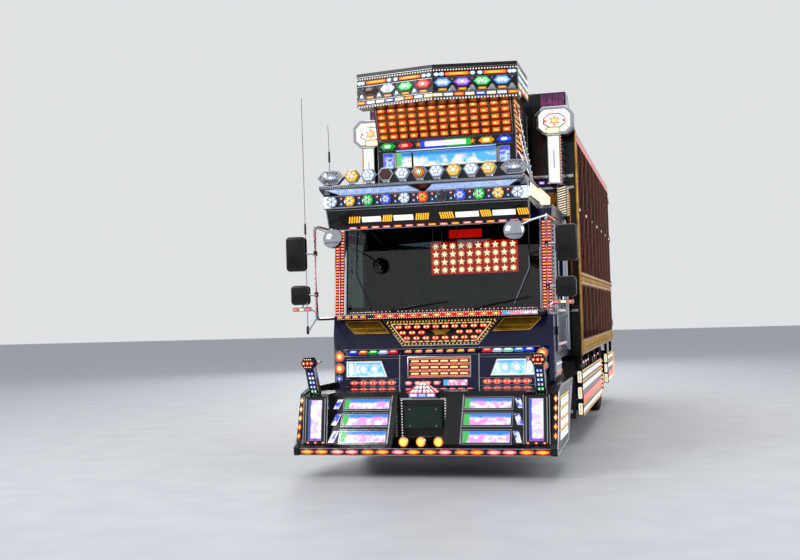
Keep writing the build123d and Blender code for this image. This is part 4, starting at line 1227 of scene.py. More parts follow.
def build_headlamps():
    """Faceted headlamp blocks with a bright frame, a blue tube and reflector bowls."""
    lamps = Piece()
    for side in (-1, 1):
        place, _, height = on_face(PANEL_FACE, (side * 478, side * 890), (822, 980))
        half = height / 2
        outline = [(-206, -half), (206, -half), (206, half), (-144, half)]
        if side < 0:
            outline = flipped(outline)
        lamps.frame(place, outline, [(0, 0), (0, 24), (3, 28), (10, 28)])
        glass = shrunk(outline, 10)
        lamps.inlay(place, glass, [(0, 28, 1.0), (7, 27, 1.0), (9, 22, 0.2), (40, 16, 0.0)], "headlamp")
        for bowl, radius in ((-70, 44), (40, 46)):
            spot = shifted(place, side * bowl, 0, 17)
            lamps.lathe(spot, [(radius, 0), (radius - 4, 5), (radius * 0.6, 1)], "sky", 28, [0.2, 0.6, 0.3])
            lamps.lathe(spot, [(radius * 0.6, 1), (radius * 0.3, 8), (0.1, 9)], "white", 20, [0.4, 0.9, 1.0])
        tube = shifted(place, side * 118, 0)
        lamps.stack(raised(tube, 16), bar(17, height - 34, 6), [(0, 0, 0.3), (3, 8, 0.6)], "blue")
        lamps.stack(
            shifted(place, side * 158, 0, 16), bar(44, height - 40, 8), [(0, 0, 0.5), (6, 6, 1.0)], "sky"
        )
    lamps.finish("headlamp_blocks", "cab", "head_lens", "headlamps")


def build_grille():
    """Lit bars of the grille between rows of orange dots."""
    grille = Piece()
    place = slope_at(*PANEL_FACE, 0, 912)
    grille.stack(raised(place, -34), bar(600, 200), [(0, 0), (0, 14)], "dark_lens")
    grille.frame(place, bar(600, 200), [(0, -30), (0, 4), (3, 6), (9, 6), (11, 0)])
    for up in (-58, 0, 58):
        for across in spread(-232, 232, 6):
            cell = shifted(place, across, up, -20)
            grille.inlay(cell, bar(74, 18, 6), [(0, 0, 0.1), (4, 13, 0.75)], "amber")
    for up in (-84, -30, 30, 84):
        grille.inlay(shifted(place, 0, up, -20), bar(570, 24, 3), [(0, 0, 0.1), (3, 5, 0.25)], "ember")
        for row in (-6, 6):
            for across in spread(-276, 276, 36):
                grille.bead(shifted(place, across + row * 0.6, up + row, -15), 8, "rose")
    for across in spread(-185, 185, 5):
        for up in (-30, 30):
            grille.bead(shifted(place, across, up, -15), 20, "red")
    grille.finish("grille_lamps", "cab", "gloss_black", "grille")


def build_panel_lamps():
    """Marker rows, double ovals, indicators and trim lines of the front panel."""
    panel = Piece()
    for side, marks in ((1, MARKS_LEFT), (-1, MARKS_RIGHT)):
        for across, paint in zip(spread(445, 836, 5), marks):
            place = slope_at(*BROW_FACE, side * across, 1056)
            # A dim plate of the lens colour round each marker is a painted glow spilling onto the brow
            panel.inlay(place, bar(92, 52, 16, 5), [(0, 0, 0.0), (3, 4, 0.05)], paint)
            panel.lamp(place, bar(78, 40, 16, 5), 14, paint, 3, "case")
        for up in (707, 775):
            for across in spread(452, 812, 5):
                place = slope_at(*PANEL_FACE, side * across, up)
                panel.frame(place, ngon(92, 52, 20), [(0, 0), (0, 7), (2, 9), (5, 9), (6, 5)])
                panel.inlay(place, ngon(80, 40, 20), [(0, 5, 0.05), (3, 6, 0.15)], "orange")
                for bulb in (-16, 16):
                    panel.bead(shifted(place, bulb, 0, 6), 20, "rose")
        for up, paint, size in ((1024, "amber", 104), (912, "amber", 104), (818, "blue", 64)):
            place = front_at(side * 956, 800 - (1030 - min(up, 1030)) * 0.12, up)
            outline = ngon(size, size, 20)
            panel.frame(place, outline, [(0, -30), (0, 12), (3, 16), (8, 16), (10, 10)])
            levels = [(0, 10, 0.05), (size * 0.14, 22, 0.35)]
            panel.inlay(place, shrunk(outline, 10), levels, paint, (27, 1.0))
        for face, low, high in ((PANEL_FACE, 700, 1030), (BROW_FACE, 1030, 1085)):
            place, _, height = on_face(face, (side * 371, side * 379), (low, high))
            panel.slab(place, 9, height, 6, "chrome", 2)
        for up in (741, 809, 998):
            panel.slab(slope_at(*PANEL_FACE, 643 * side, up), 514, 6, 5, "chrome", 2)
    for up in (700, 765):
        for across in spread(-290, 290 if up == 700 else -20, 8 if up == 700 else 4):
            panel.lamp(slope_at(*PANEL_FACE, across, up + 4), bar(68, 44, 20, 5), 9, "rose", 5)
    place = slope_at(*PANEL_FACE, 155, 769)
    lit_panel(panel, place, bar(226, 56, 4), 8, "print_pink", 5)
    for across in spread(-300, 300, 7):
        panel.lamp(slope_at(*BROW_FACE, across, 1056), bar(76, 40, 18, 5), 9, "orange", 5)
    for face, up in ((PANEL_FACE, 694), (PANEL_FACE, 1024), (BROW_FACE, 1081)):
        panel.slab(slope_at(*face, 0, up), 1872, 6, 6, "chrome", 2)
    panel.finish("front_panel_lamps", "cab", "lamp_red")


def build_shield():
    """The trapezoid lamp panel with its dotted borders, and the gilt plates at its sides."""
    shield = Piece()
    low, high = 1104, 1353
    half_low, half_high = 364, 567
    place, _, height = on_face(SHIELD_FACE, (-1, 1), (low, high))
    outline = [
        (-half_low, -height / 2), (half_low, -height / 2), (half_high, height / 2), (-half_high, height / 2)
    ]
    shield.frame(place, outline, [(0, 0), (0, 10), (2, 14), (10, 14), (12, 10)])
    shield.inlay(place, shrunk(outline, 12), [(0, 10), (3, 10)], "black")

    def along(inset, count_long, count_short, count_side, size, lens, flat=False):
        ring = shrunk(outline, inset)
        for index, count in enumerate((count_short, count_side, count_long, count_side)):
            start, end = Vector(ring[index]), Vector(ring[(index + 1) % 4])
            for step in range(count):
                spot = start.lerp(end, (step + 0.5) / count)
                spot_place = shifted(place, spot.x, spot.y, 10)
                if flat:
                    turn = Matrix.Rotation(math.atan2(end.y - start.y, end.x - start.x), 4, "Z")
                    shield.slab(spot_place @ turn, size * 2.4, size * 0.55, 5, lens, 1)
                else:
                    shield.bead(spot_place, size, lens)

    along(20, 34, 20, 9, 17, "gold")
    along(42, 17, 11, 5, 19, "warm_white", True)
    for row, up in enumerate(spread(-height / 2 + 76, height / 2 - 72, 3)):
        share = (up + height / 2) / height
        half = half_low + (half_high - half_low) * share - 104
        for number, across in enumerate(spread(-half, half, max(2, int(2 * half / 84) + 1))):
            if row == 1 and abs(across) < 96:
                continue
            cell = shifted(place, across, up, 8)
            shield.inlay(cell, ngon(72, 40, 16), [(0, 0, 0.0), (4, 6, 0.15)], "orange")
            for bulb in (-15, 15):
                shield.bead(shifted(cell, bulb, 0, 5), 22, "yellow" if (number + row) % 3 else "rose")
    badge = [(-92, 24), (-44, -24), (44, -24), (92, 24)]
    shield.stack(raised(place, 8), badge, [(0, 0), (0, 6), (4, 9)], "gilt_plain")
    shield.finish("shield_lamps", "cab", "lamp_amber", "lamp_shield")
    plates = Piece()
    foot = slope_at(*SHIELD_FACE, 0, 1228)
    tall = (1362 - 1228) * 1.026
    outline = [(484, 0), (838, 4), (936, tall - 30), (936, tall), (590, tall)]
    plates.frame(foot, outline, [(0, 0), (0, 3), (3, 5), (12, 5), (15, 3)], "gilt_plain")
    plates.inlay(foot, shrunk(outline, 15), [(0, 3), (2, 3)], "gilt")
    for across, up in ((520, 14), (820, 16), (905, tall - 22), (610, tall - 16)):
        plates.lathe(shifted(foot, across, up, 4), [(7, 0), (6, 3), (0.1, 4)], "chrome", 12)
    plates.mirror()
    plates.finish("gilt_plates", "cab", "gilt")


def build_lip():
    """Ovals and bead rows along the lip under the screen."""
    lip = Piece()
    for across in spread(-500, 580, 11):
        place = front_at(across, 580, 1395)
        # The dim red plate round each oval is a painted glow of the lamp spilling onto the lip
        lip.inlay(place, bar(104, 34, 8), [(0, 0, 0.0), (2, 4, 0.05)], "red")
        lip.lamp(place, ngon(92, 30, 16), 12, "orange", 3, "case")
        lip.bead(raised(place, 6), 20, "yellow")
    for up in (1377, 1413):
        for across in spread(-606, 606, 58):
            lip.bead(front_at(across, 580, up), 9, "warm_white")
    reach = math.hypot(327, 120)
    for side in (-1, 1):
        place = placed((side * 783.5, 640, 1395), (327, side * 120, 0), (0, 0, 1))
        if side > 0:
            lit_panel(lip, place, bar(reach - 24, 30, 4), 8, "print_pink", 4)
        else:
            for across in spread(-reach / 2 + 40, reach / 2 - 40, 4):
                lip.lamp(shifted(place, across, 0), bar(66, 24, 11, 5), 8, "orange", 4)
        for across in spread(-reach / 2 + 12, reach / 2 - 12, 16):
            lip.bead(shifted(place, across, 19), 9, "warm_white")
            lip.bead(shifted(place, across, -19), 9, "rose")
    lip.stack(top_at(0, 600, 1418), bar(1180, 26, 8), [(0, 0), (0, 3), (3, 5)], "chrome")
    lip.finish("lip_lamps", "cab", "lamp_amber")


# Screen, visor and deck


def build_screen_trim():
    """Chrome surround, corner braces, the bead row and the wipers of the windscreen."""
    trim = Piece()
    for side in (-1, 1):
        trim.tube([(side * 640, 978, 1432), (side * 905, 978, 1432)], 9, "chrome")
        path = [(side * 690, 968, 1472), (side * 838, 1006, 1804), (side * 832, 1058, 2240)]
        # The corner braces take the dark-tinted mirror sheet: painted dark reflection
        trim.tube(path, 7, "smoked")
        trim.tube([(side * 940, 966, 1425), (side * 940, 1064, 2270)], 12, "chrome")
    for across in spread(-860, 860, 44):
        trim.bead(slope_at(*CAB_FACE, across, 1437), 11, "rose")
    trim.finish("screen_trim", "cab", "chrome_trim")
    wipers = Piece()
    for foot, tip in (((-470, 1448), (60, 1520)), ((330, 1448), (840, 1540))):
        low = Vector((foot[0], lean(*SCREEN_FACE, foot[1]) - 16, foot[1]))
        high = Vector((tip[0], lean(*SCREEN_FACE, tip[1]) - 16, tip[1]))
        wipers.lathe(front_at(*low), [(20, -12), (20, 6), (14, 12), (0.1, 13)], "black", 20)
        wipers.tube([low, low.lerp(high, 0.5) + Vector((0, -8, 10))], 6, "black", 8)
        blade_start, blade_end = low.lerp(high, 0.12), high
        direction = (blade_end - blade_start).normalized()
        blade = placed(blade_start.lerp(blade_end, 0.5) + Vector((0, 6, 0)), direction, (0, 96, 832))
        wipers.slab(blade, (blade_end - blade_start).length, 16, 8, "flap", 2)
        wipers.slab(raised(blade, 6), (blade_end - blade_start).length * 0.5, 8, 6, "black", 2)
    wipers.finish("wipers", "cab", "gloss_black")


def build_cab_sign():
    """The star-lamp sign and the pierced triangles that hang behind the screen."""
    sign = Piece()
    board = front_at(285, 1210, 1935)
    sign.stack(board, bar(870, 340, 8), [(0, -30), (0, 0), (5, 3), (12, 3), (14, 0)], "case")
    sign.inlay(board, bar(842, 312, 6), [(0, 1, 0.0), (4, 4, 0.0)], "sign_red")
    for column, across in enumerate(spread(-374, 374, 10)):
        for row, up in enumerate(spread(-114, 114, 4)):
            spot = shifted(board, across, up, 4)
            outline = star(36, 8, 0.5) if (row + column) % 2 else star(38, 5, 0.45)
            sign.stack(spot, outline, [(0, 0, 0.3), (4, 4, 0.8)], "sign_star", (6, 1.0))
        if column:
            sign.slab(shifted(board, across - 41.5, 0, 3), 6, 300, 5, "case", 1)
    top = front_at(205, 1210, 2165)
    lit_panel(sign, top, bar(330, 90, 6), 10, "sign_red", 6, "case")
    for across in (60, 350):
        sign.tube([(across, 1216, 2200), (across, 1216, 2250)], 6, "chrome")
    for across in (-120, 690):
        sign.tube([(across, 1225, 2100), (across, 1225, 2300)], 5, "chrome")
    sign.finish("cab_star_sign", "cab", "lamp_red")
    mesh = Piece()
    for points in (((-445, 2081), (-3, 2020), (-13, 2101)), ((140, 2007), (475, 2098), (136, 2105))):
        corners = [Vector(point) for point in points]
        flat = front_at(0, 1130, 0)
        outline = [tuple(corner) for corner in corners]
        mesh.frame(flat, outline, [(0, 0), (0, 5), (1, 6), (6, 6), (7, 3)])
        count = 26
        for step in range(1, count):
            share = step / count
            first = corners[0].lerp(corners[1], share)
            last = corners[0].lerp(corners[2], share)
            if points[0][0] > 0:
                first, last = corners[1].lerp(corners[0], share), corners[1].lerp(corners[2], share)
            mesh.tube([(first.x, 1127, first.y), (last.x, 1127, last.y)], 2.4, "white", 6)
        mesh.tube([(outline[2][0], 1128, outline[2][1]), (outline[2][0], 1128, 2330)], 3, "chrome", 6)
    mesh.finish("pierced_triangles", "cab", "chrome_trim")


def build_visor():
    """Lit windows, slanted amber hatching and the oval row of the black sun visor."""
    visor = Piece()
    place = slope_at(*VISOR_FACE, 0, 2280)
    for first, last in ((-606, -412), (-309, -112), (260, 486), (594, 813)):
        spot = shifted(place, (first + last) / 2, 0)
        visor.frame(spot, bar(last - first, 66, 3), [(0, 0), (0, 5), (2, 6), (6, 6), (7, 3)], "black")
        visor.inlay(spot, bar(last - first - 12, 56, 2), [(0, 3)], "print_white")
    hatches = ((-725, -615, 5), (-405, -315, 5), (-98, 25, 6), (125, 250, 6), (494, 588, 5), (822, 920, 5))
    for first, last, count in hatches:
        tilt = 14 if (first + last) < 200 else -14
        for across in spread(first + 9, last - 9, count):
            visor.stack(
                shifted(place, across, 0), slanted(14, 62, tilt), [(0, 0, 0.1), (2, 4, 0.3)], "yellow"
            )
    for across in spread(-695, 895, 16):
        lens = "rose" if round(across / 100) % 3 else "orange"
        visor.lamp(slope_at(*VISOR_FACE, across, 2210), bar(76, 24, 11, 5), 8, lens, 3)
    for up in (2194, 2372):
        visor.slab(slope_at(*VISOR_FACE, 0, up), 1850, 5, 4, "chrome", 1)
    for side in (-1, 1):
        visor.slab(slope_at(*VISOR_FACE, side * 924, 2284), 8, 190, 8, "chrome", 2)
        visor.tube([(side * 700, 505, 2230), (side * 700, 1060, 2215)], 9, "chrome")
    visor.finish("visor_lamps", "cab", "lamp_amber")


DECK_HEXES = ("yellow", "white", "dark_lens", "white", "gold", "white", "yellow", "white", "yellow")
DECK_ROUNDS = (
    "white", "yellow", "green", "blue", "white", "orange", "dim_lens", "blue", "green", "yellow", "white"
)


def build_deck():
    """Star lamps, mirror lamps, the notched sloping plate and the round lamps of the visor deck."""
    deck = Piece()
    for index, paint in enumerate(DECK_HEXES):
        across = (index - 4) * 154
        place = front_at(across, 250, 2650)
        deck.stack(raised(place, -4), ngon(144, 132, 6), [(0, 0), (0, 34), (3, 37)], "chrome")
        if paint == "dark_lens":
            deck.stack(raised(place, 32), ngon(124, 110, 6), [(0, 0), (4, 8)], paint, (14, 0.0))
        else:
            deck.star_lamp(raised(place, 32), ngon(132, 118, 6), 20, paint, "white", 7)
        deck.slab(front_at(across, 246, 2588), 60, 26, 22, "chrome", 3)
    for side in (-1, 1):
        place = front_at(side * 830, 310, 2651)
        outline = ngon(254, 148, 6)
        deck.frame(place, outline, [(0, 0), (0, 46), (4, 52), (12, 52), (17, 44)])
        inner = shrunk(outline, 17)
        deck.frame(raised(place, 44), inner, [(0, 0), (22, 4), (24, 9), (36, 11)])
        deck.inlay(raised(place, 44), shrunk(inner, 36), [(0, 11, 0.0), (4, 10, 0.3)], "print_ice")
        deck.stack(raised(place, 54), star(24), [(0, 0, 0.9)], "white", (7, 1.0))
        for index in range(12):
            turn = Matrix.Rotation(math.pi * index / 6 + 0.1, 4, "Z")
            deck.slab(raised(place, 46) @ turn @ Matrix.Translation((58, 0, 0)), 30, 7, 5, "dark_lens", 1)
    for index, across in enumerate(spread(-845, 845, sizes().round_lamps)):
        paint = DECK_ROUNDS[index % len(DECK_ROUNDS)]
        place = front_at(across, 346, 2443)
        deck.frame(place, ngon(104, 104, 24), [(0, 0), (0, 14)])
        deck.spoke_lamp(raised(place, 12), 106, 22, paint)
    for across in spread(-760, 760, 10):
        deck.lamp(front_at(across, 347, 2468), ngon(26, 26, 8), 8, "rose", 3)
        deck.lamp(front_at(across, 347, 2418), ngon(24, 24, 8), 8, "sky", 3)
    deck.finish("deck_lamp_set", "cab", "lamp_white", "deck_lamps")
    plates = Piece()
    face = ((350, 2500), (225, 2545))
    place, _, height = on_face(face, (-1, 1), (2502, 2543))
    for side in (-1, 1):
        outline = [(108, height / 2), (16, -height / 2), (770, -height / 2), (872, height / 2)]
        if side < 0:
            outline = flipped(outline)
        plates.frame(place, outline, [(0, 0), (0, 4), (2, 6), (5, 6), (7, 4)])
        plates.inlay(place, shrunk(outline, 7), [(0, 4)], "print_ice")
        plates.stack(front_at(side * 896, 349, 2440), bar(62, 112, 8), [(0, 0, 0.3), (6, 8, 0.8)], "mint")
        glow = flank_at(side, 930, 400, 2452)
        plates.stack(glow, bar(96, 92, 8), [(0, 0, 0.3), (8, 8, 0.8)], "mint")
    notch = [(-92, height / 2), (0, -height / 2), (92, height / 2)]
    plates.stack(raised(place, 1), notch, [(0, 0), (2, 3)], "black")
    for up in (2552, 2568):
        plates.slab(front_at(0, 225, up), 1856, 5, 4, "chrome", 1)
    for across in spread(-900, 900, 91):
        plates.bead(front_at(across, 225, 2560), 7, "sky")
    plates.slab(front_at(0, 350, 2388), 1850, 12, 8, "chrome", 3)
    plates.slab(front_at(0, 350, 2492), 1850, 8, 6, "chrome", 2)
    for side in (-1, 1):
        board = flank_at(side, 930, 800, 2480)
        plates.stack(board, bar(680, 132, 4), [(0, 0), (0, 4), (2, 5)], "case")
        for back in spread(-316, 316, 16):
            plates.stack(
                shifted(board, back, 0, 5), slanted(24, 118, 40), [(0, 0, 0.3), (4, 6, 0.8)], "print_cream"
            )
        board = flank_at(side, 918, 1680, 2500)
        for back in spread(-440, 440, 21):
            plates.stack(
                shifted(board, back, 0), slanted(24, 150, 44), [(0, 0, 0.3), (4, 7, 0.8)], "print_cream"
            )
    plates.finish("deck_plates", "cab", "chrome_trim")


# Tower and crown


def build_tower():
    """The lamp grid, the lamp row, the backlit picture and the small prints on the tower's face."""
    tower = Piece()
    columns, rows = sizes().tower_columns, sizes().tower_rows
    place = slope_at(*GRID_FACE, 0, 3300)
    tower.frame(place, bar(1352, 352), [(0, 0), (0, 8), (3, 11), (9, 11), (10, 5)])
    tower.inlay(place, bar(1332, 332), [(0, 5)], "dim_lens")
    pitch, climb = 1336 / columns, 330 / rows
    for row in range(rows):
        for column in range(columns):
            across = (column - (columns - 1) / 2) * pitch
            up = (row - (rows - 1) / 2) * climb
            cell = shifted(place, across, up, 5)
            tower.frame(cell, bar(pitch - 22, climb - 16, 8), [(0, 0), (0, 7), (2, 9), (4, 7)], "gilt_plain")
            levels = [(0, 5, 0.0), (6, 13, 0.1), (15, 18, 0.4)]
            tower.inlay(cell, bar(pitch - 26, climb - 19, 14), levels, "amber")
            tower.inlay(raised(cell, 17), ngon(38, 26, 12), [(0, 0, 0.1), (8, 3, 0.5)], "yellow", (5, 0.9))
    for column in range(columns + 1):
        across = (column - columns / 2) * pitch
        tower.slab(shifted(place, across, 0, 5), 5, 330, 9, "gilt_plain", 1)
    for row in range(rows + 1):
        up = (row - rows / 2) * climb
        tower.slab(shifted(place, 0, up, 5), 1330, 4, 8, "gilt_plain", 1)
    build_tower_row(tower)
    place, _, height = on_face(ROW_FACE, (-640, 640), (2855, 3020))
    for first, last, paint in (
        (-636, -530, "print_violet"), (-505, 505, "print_sky"), (530, 636, "print_violet")
    ):
        spot = shifted(place, (first + last) / 2, 0)
        lit_panel(tower, spot, bar(last - first, height - 8, 4), 16, paint, 7)
    for across, width, paint in ((-518, 16, "chrome"), (-338, 20, "black"), (518, 16, "chrome")):
        tower.slab(shifted(place, across, 0, 2), width, height - 12, 13, paint, 3)
    tower.lamp(slope_at(*ROW_FACE, 0, 3030), bar(1010, 16, 5), 10, "sky", 3)
    tower.finish("tower_lamp_set", "cab", "lamp_amber", "tower_lamps")


def build_tower_row(piece):
    """Large six-sided lamps, gilt stars and the long white bar under the grid."""
    lamps = (
        (-585, 120, "green"),
        (-409, 120, "red"),
        (0, 430, "warm_white"),
        (409, 120, "yellow"),
        (585, 120, "blue"),
    )
    for middle, width, paint in lamps:
        place = slope_at(*ROW_FACE, middle, 3082)
        outline = ngon(width, 76, 6) if width < 200 else bar(width, 62, 6)
        piece.frame(place, outline, [(0, 0), (0, 10), (3, 12), (5, 10)])
        inner = shrunk(outline, 5)
        if width < 200:
            # A dim plate of the lens colour, wider than the lamp's rim, is a painted glow spilling onto the
            # face
            piece.inlay(place, ngon(width + 40, 74, 6), [(0, 0, 0.0), (3, 4, 0.05)], paint)
            piece.inlay(place, inner, [(0, 8, 0.0), (12, 16, 0.2), (16, 19, 0.9)], paint)
        else:
            for side, tone in ((-1, "blue"), (1, "green")):
                spot = shifted(place, side * (width / 2 + 14), 0)
                piece.stack(spot, bar(52, 66, 8), [(0, 0, 0.0), (6, 12, 0.1)], tone)
                band = shifted(place, side * width / 4, 0)
                piece.stack(band, bar(width / 2 - 8, 72, 2), [(0, 0, 0.0), (2, 9, 0.1)], tone)
            piece.inlay(place, bar(width - 16, 46, 8), [(0, 8, 0.6), (6, 18, 1.0)], paint)
    for across in (-272, 272):
        place = slope_at(*ROW_FACE, across, 3082)
        piece.stack(place, star(38), [(0, 0, 0.1), (2, 10, 0.3)], "gold", (16, 0.7))
    for up in (3040, 3124):
        place = slope_at(*ROW_FACE, 0, up)
        piece.slab(place, 1360, 5, 8, "chrome", 2)


def build_tower_sides():
    """Lattices of small lamps, marker rows and the lit stays beside the tower."""
    sides = Piece()
    for row, up in enumerate(spread(3020, 3440, 10)):
        front = lean(*GRID_FACE, up) if up > 3130 else 1384
        for column in range(9):
            back = front + 60 + column * 46
            if back > 1860:
                continue
            place = side_at(TOWER_SIDE, back, up)
            paint = "amber" if (row + column) % 3 else "orange"
            sides.lamp(place, bar(34, 30, 6), 10, paint, 4, "gilt_plain")
    for up in spread(2998, 3462, 11):
        sides.tube([(695, 1430, up), (695, 1880, up)], 4, "gilt_plain", 6)
    for up in (2470, 2560, 2650, 2740, 2830, 2920):
        sides.slab(side_at(TOWER_SIDE, 1845, up), 850, 9, 7, "chrome", 2)
        for back in spread(1460, 2230, 9):
            sides.lamp(
                side_at(TOWER_SIDE, back, up + 44), bar(54, 40, 8), 10, "red" if up % 100 else "blue", 4
            )
    for back in (1412, 2280):
        sides.slab(side_at(TOWER_SIDE, back, 2930), 14, 1040, 9, "chrome", 3)
    sides.mirror()
    for back, up in ((1450, 3405), (1450, 3180), (1480, 2960)):
        sides.tube([(704, back, up), (908, back - 560, 2584)], 9, "chrome")
        for share in spread(0.12, 0.88, 11):
            spot = Vector((714, back, up)).lerp(Vector((918, back - 560, 2584)), share)
            sides.bead(side_at(*spot), 14, "warm_white")
    sides.finish("tower_side_lamps", "cab", "chrome_trim")


CROWN_LENSES = ("dark_lens", "white", "green", "red", "sky", "violet", "green", "sky")


FLANK_LENSES = (("green", "amber", "sky"), ("orange", "yellow", "orange"), ("blue", "white", "green"))


def build_crown():
    """Beads, bars, star lamps, trapezoid lamps and the marker band of the tower's crown."""
    crown = Piece()
    for index, paint in enumerate(CROWN_LENSES):
        across = (index - 3.5) * 183
        place = crown_at(across, 3572)
        if paint == "dark_lens":
            crown.lamp(place, ngon(172, 98, 6), 16, paint, 5)
        else:
            crown.star_lamp(place, ngon(172, 98, 6), 16, paint, "white", 5)
        lamp = [(-50, -17), (50, -17), (38, 17), (-38, 17)]
        crown.lamp(crown_at(across, 3504), lamp, 11, "gold", 4)
    for index in range(9):
        across = (index - 4) * 183
        if abs(across) < 1:
            continue
        across -= math.copysign(2, across)
        foot = [(-40, -46), (40, -46), (12, 6), (-12, 6)]
        crown.stack(crown_at(across, 3534), foot, [(0, 0), (2, 5)], "chrome", (14, 0.0))
        head = [(0, 4), (30, 32), (-30, 32)]
        crown.stack(crown_at(across, 3578), head, [(0, 0), (2, 4)], "chrome", (12, 0.0))
    for side in (-1, 1):
        middle = side * 390
        for up, tall in ((3618, 4), (3481, 5), (3432, 5), (3708, 4)):
            crown.slab(crown_at(middle, up), 776, tall, 6, "chrome", 1)
        for across in spread(14, 772, 30):
            crown.bead(crown_at(side * across, 3690), 14, "warm_white")
        for number, (first, last) in enumerate(((10, 110), (110, 345), (345, 465), (465, 690), (690, 776))):
            if number % 2:
                crown.lamp(
                    crown_at(side * (first + last) / 2, 3650), bar(last - first - 6, 40), 10, "orange", 4,
                    "case"
                )
            else:
                for cell in spread(first + 26, last - 26, 2):
                    crown.lamp(crown_at(side * cell, 3650), ngon(56, 42, 12), 12, "white", 4)
        for number, across in enumerate(spread(44, 736, 8)):
            paint = ("warm_white", "white", "orange", "warm_white", "blue")[number % 5]
            crown.lamp(crown_at(side * across, 3457), bar(92, 32, 6), 10, paint, 3)
        for across in spread(18, 764, 27):
            crown.slab(crown_at(side * across, 3420), 14, 13, 4, "print_white", 1)
    crown.finish("crown_lamps", "cab", "lamp_white")
    flank = Piece()
    for row, up in enumerate((3450, 3520, 3590, 3660)):
        for column, back in enumerate(spread(1060, 1650, 9)):
            if up < 3480 and back > 1195:
                continue
            paint = FLANK_LENSES[row % 3][column % 3]
            flank.lamp(side_at(CROWN_SIDE, back, up), bar(60, 52, 10), 13, paint, 5)
    for up in (3484, 3555, 3625, 3712):
        flank.slab(side_at(CROWN_SIDE, 1358, up), 676, 5, 6, "chrome", 1)
    for back in spread(1030, 1690, 40):
        flank.bead(side_at(CROWN_SIDE, back, 3692), 10, "warm_white")
    flank.mirror()
    flank.finish("crown_side_lamps", "cab", "lamp_amber")


# Wheels


def build_tyres():
    """Tyres with ribs, grooves, shoulder blocks and a beaded side wall."""
    depth = sizes().tread_depth / MM
    for end in WHEEL_PLANES:
        for _, name in SIDES:
            low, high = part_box(f"tyre_{end}_{name}")
            centre = ((low + high) / 2) / MM
            tyre = Piece()
            rings = (0,) if end == "front" else (-130, 130)
            for offset in rings:
                place = side_at(centre.x + offset, centre.y - FRONT, centre.z)
                build_tyre(tyre, place, depth)
            tyre.finish(
                f"tyre_{end}_{name}_tread", f"wheel_{end}_{name}", "tyre_rubber", f"tyre_{end}_{name}",
                crease=28
            )


def build_tyre(piece, place, depth):
    """One tyre: a turned section whose tread rows are cut by grooves and lateral sipes."""
    full, groove = TYRE_RADIUS, TYRE_RADIUS - depth
    wall = [
        (85, 226), (91, 240), (98, 262), (99, 264), (108, 290), (112, 318), (110, 350), (105, 380),
        (103, 382), (97, 402)
    ]
    tread = [(93, 412), (84, 418), (62, full), (60, groove), (50, groove), (48, full), (24, full)]
    tread += [(22, groove), (14, groove), (12, full)]
    section = wall + tread
    section += [(-x, r) for x, r in reversed(section)]
    sides = 96
    points = []
    for x, r in section:
        for step in range(sides):
            angle = 2 * math.pi * step / sides
            cut = r
            if abs(x) > 60 and r > 380 and step % 3 == 0:
                cut = r - depth * 0.8
            if abs(x) < 62 and r == full and step % 4 == 2:
                cut = r - depth * 0.35
            points.append((cut * math.cos(angle), cut * math.sin(angle), x))
    faces = []
    for ring in range(len(section) - 1):
        for step in range(sides):
            after = (step + 1) % sides
            low, high = ring * sides, (ring + 1) * sides
            faces.append((low + step, high + step, high + after, low + after))
    last = (len(section) - 1) * sides
    for step in range(sides):
        after = (step + 1) % sides
        faces.append((last + step, step, after, last + after))
    piece.add(place, points, faces, "tyre")


def build_wheel_trims():
    """Wheel nuts with long caps, hub cones and the chrome ring of each wheel."""
    for end, face in (("front", 44), ("rear", 8)):
        for side, name in SIDES:
            low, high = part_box(f"wheel_{end}_{name}")
            centre = ((low + high) / 2) / MM
            trim = Piece()
            place = flank_at(side, WHEEL_PLANES[end] + face, centre.y - FRONT, centre.z)
            hub = 44 if end == "front" else 112
            cone = [
                (78, hub), (70, hub + 10), (60, hub + 12), (52, hub + 26), (30, hub + 34), (0.1, hub + 36)
            ]
            trim.lathe(place, cone, "chrome", 32)
            for spot in around(place, 110, 8, 0.5):
                trim.stack(spot, ngon(30, 30, 6), [(0, 0), (0, 16)], "chrome")
                trim.lathe(spot, [(11, 16), (10, 40), (6, 48), (0.1, 50)], "chrome", 12)
            trim.lathe(place, [(206, 2), (203, 8), (196, 8), (194, 2)], "chrome", 64)
            trim.finish(f"wheel_nuts_{end}_{name}", f"wheel_{end}_{name}", "wheel_chrome")


# Mirrors, rods and the cab's sides


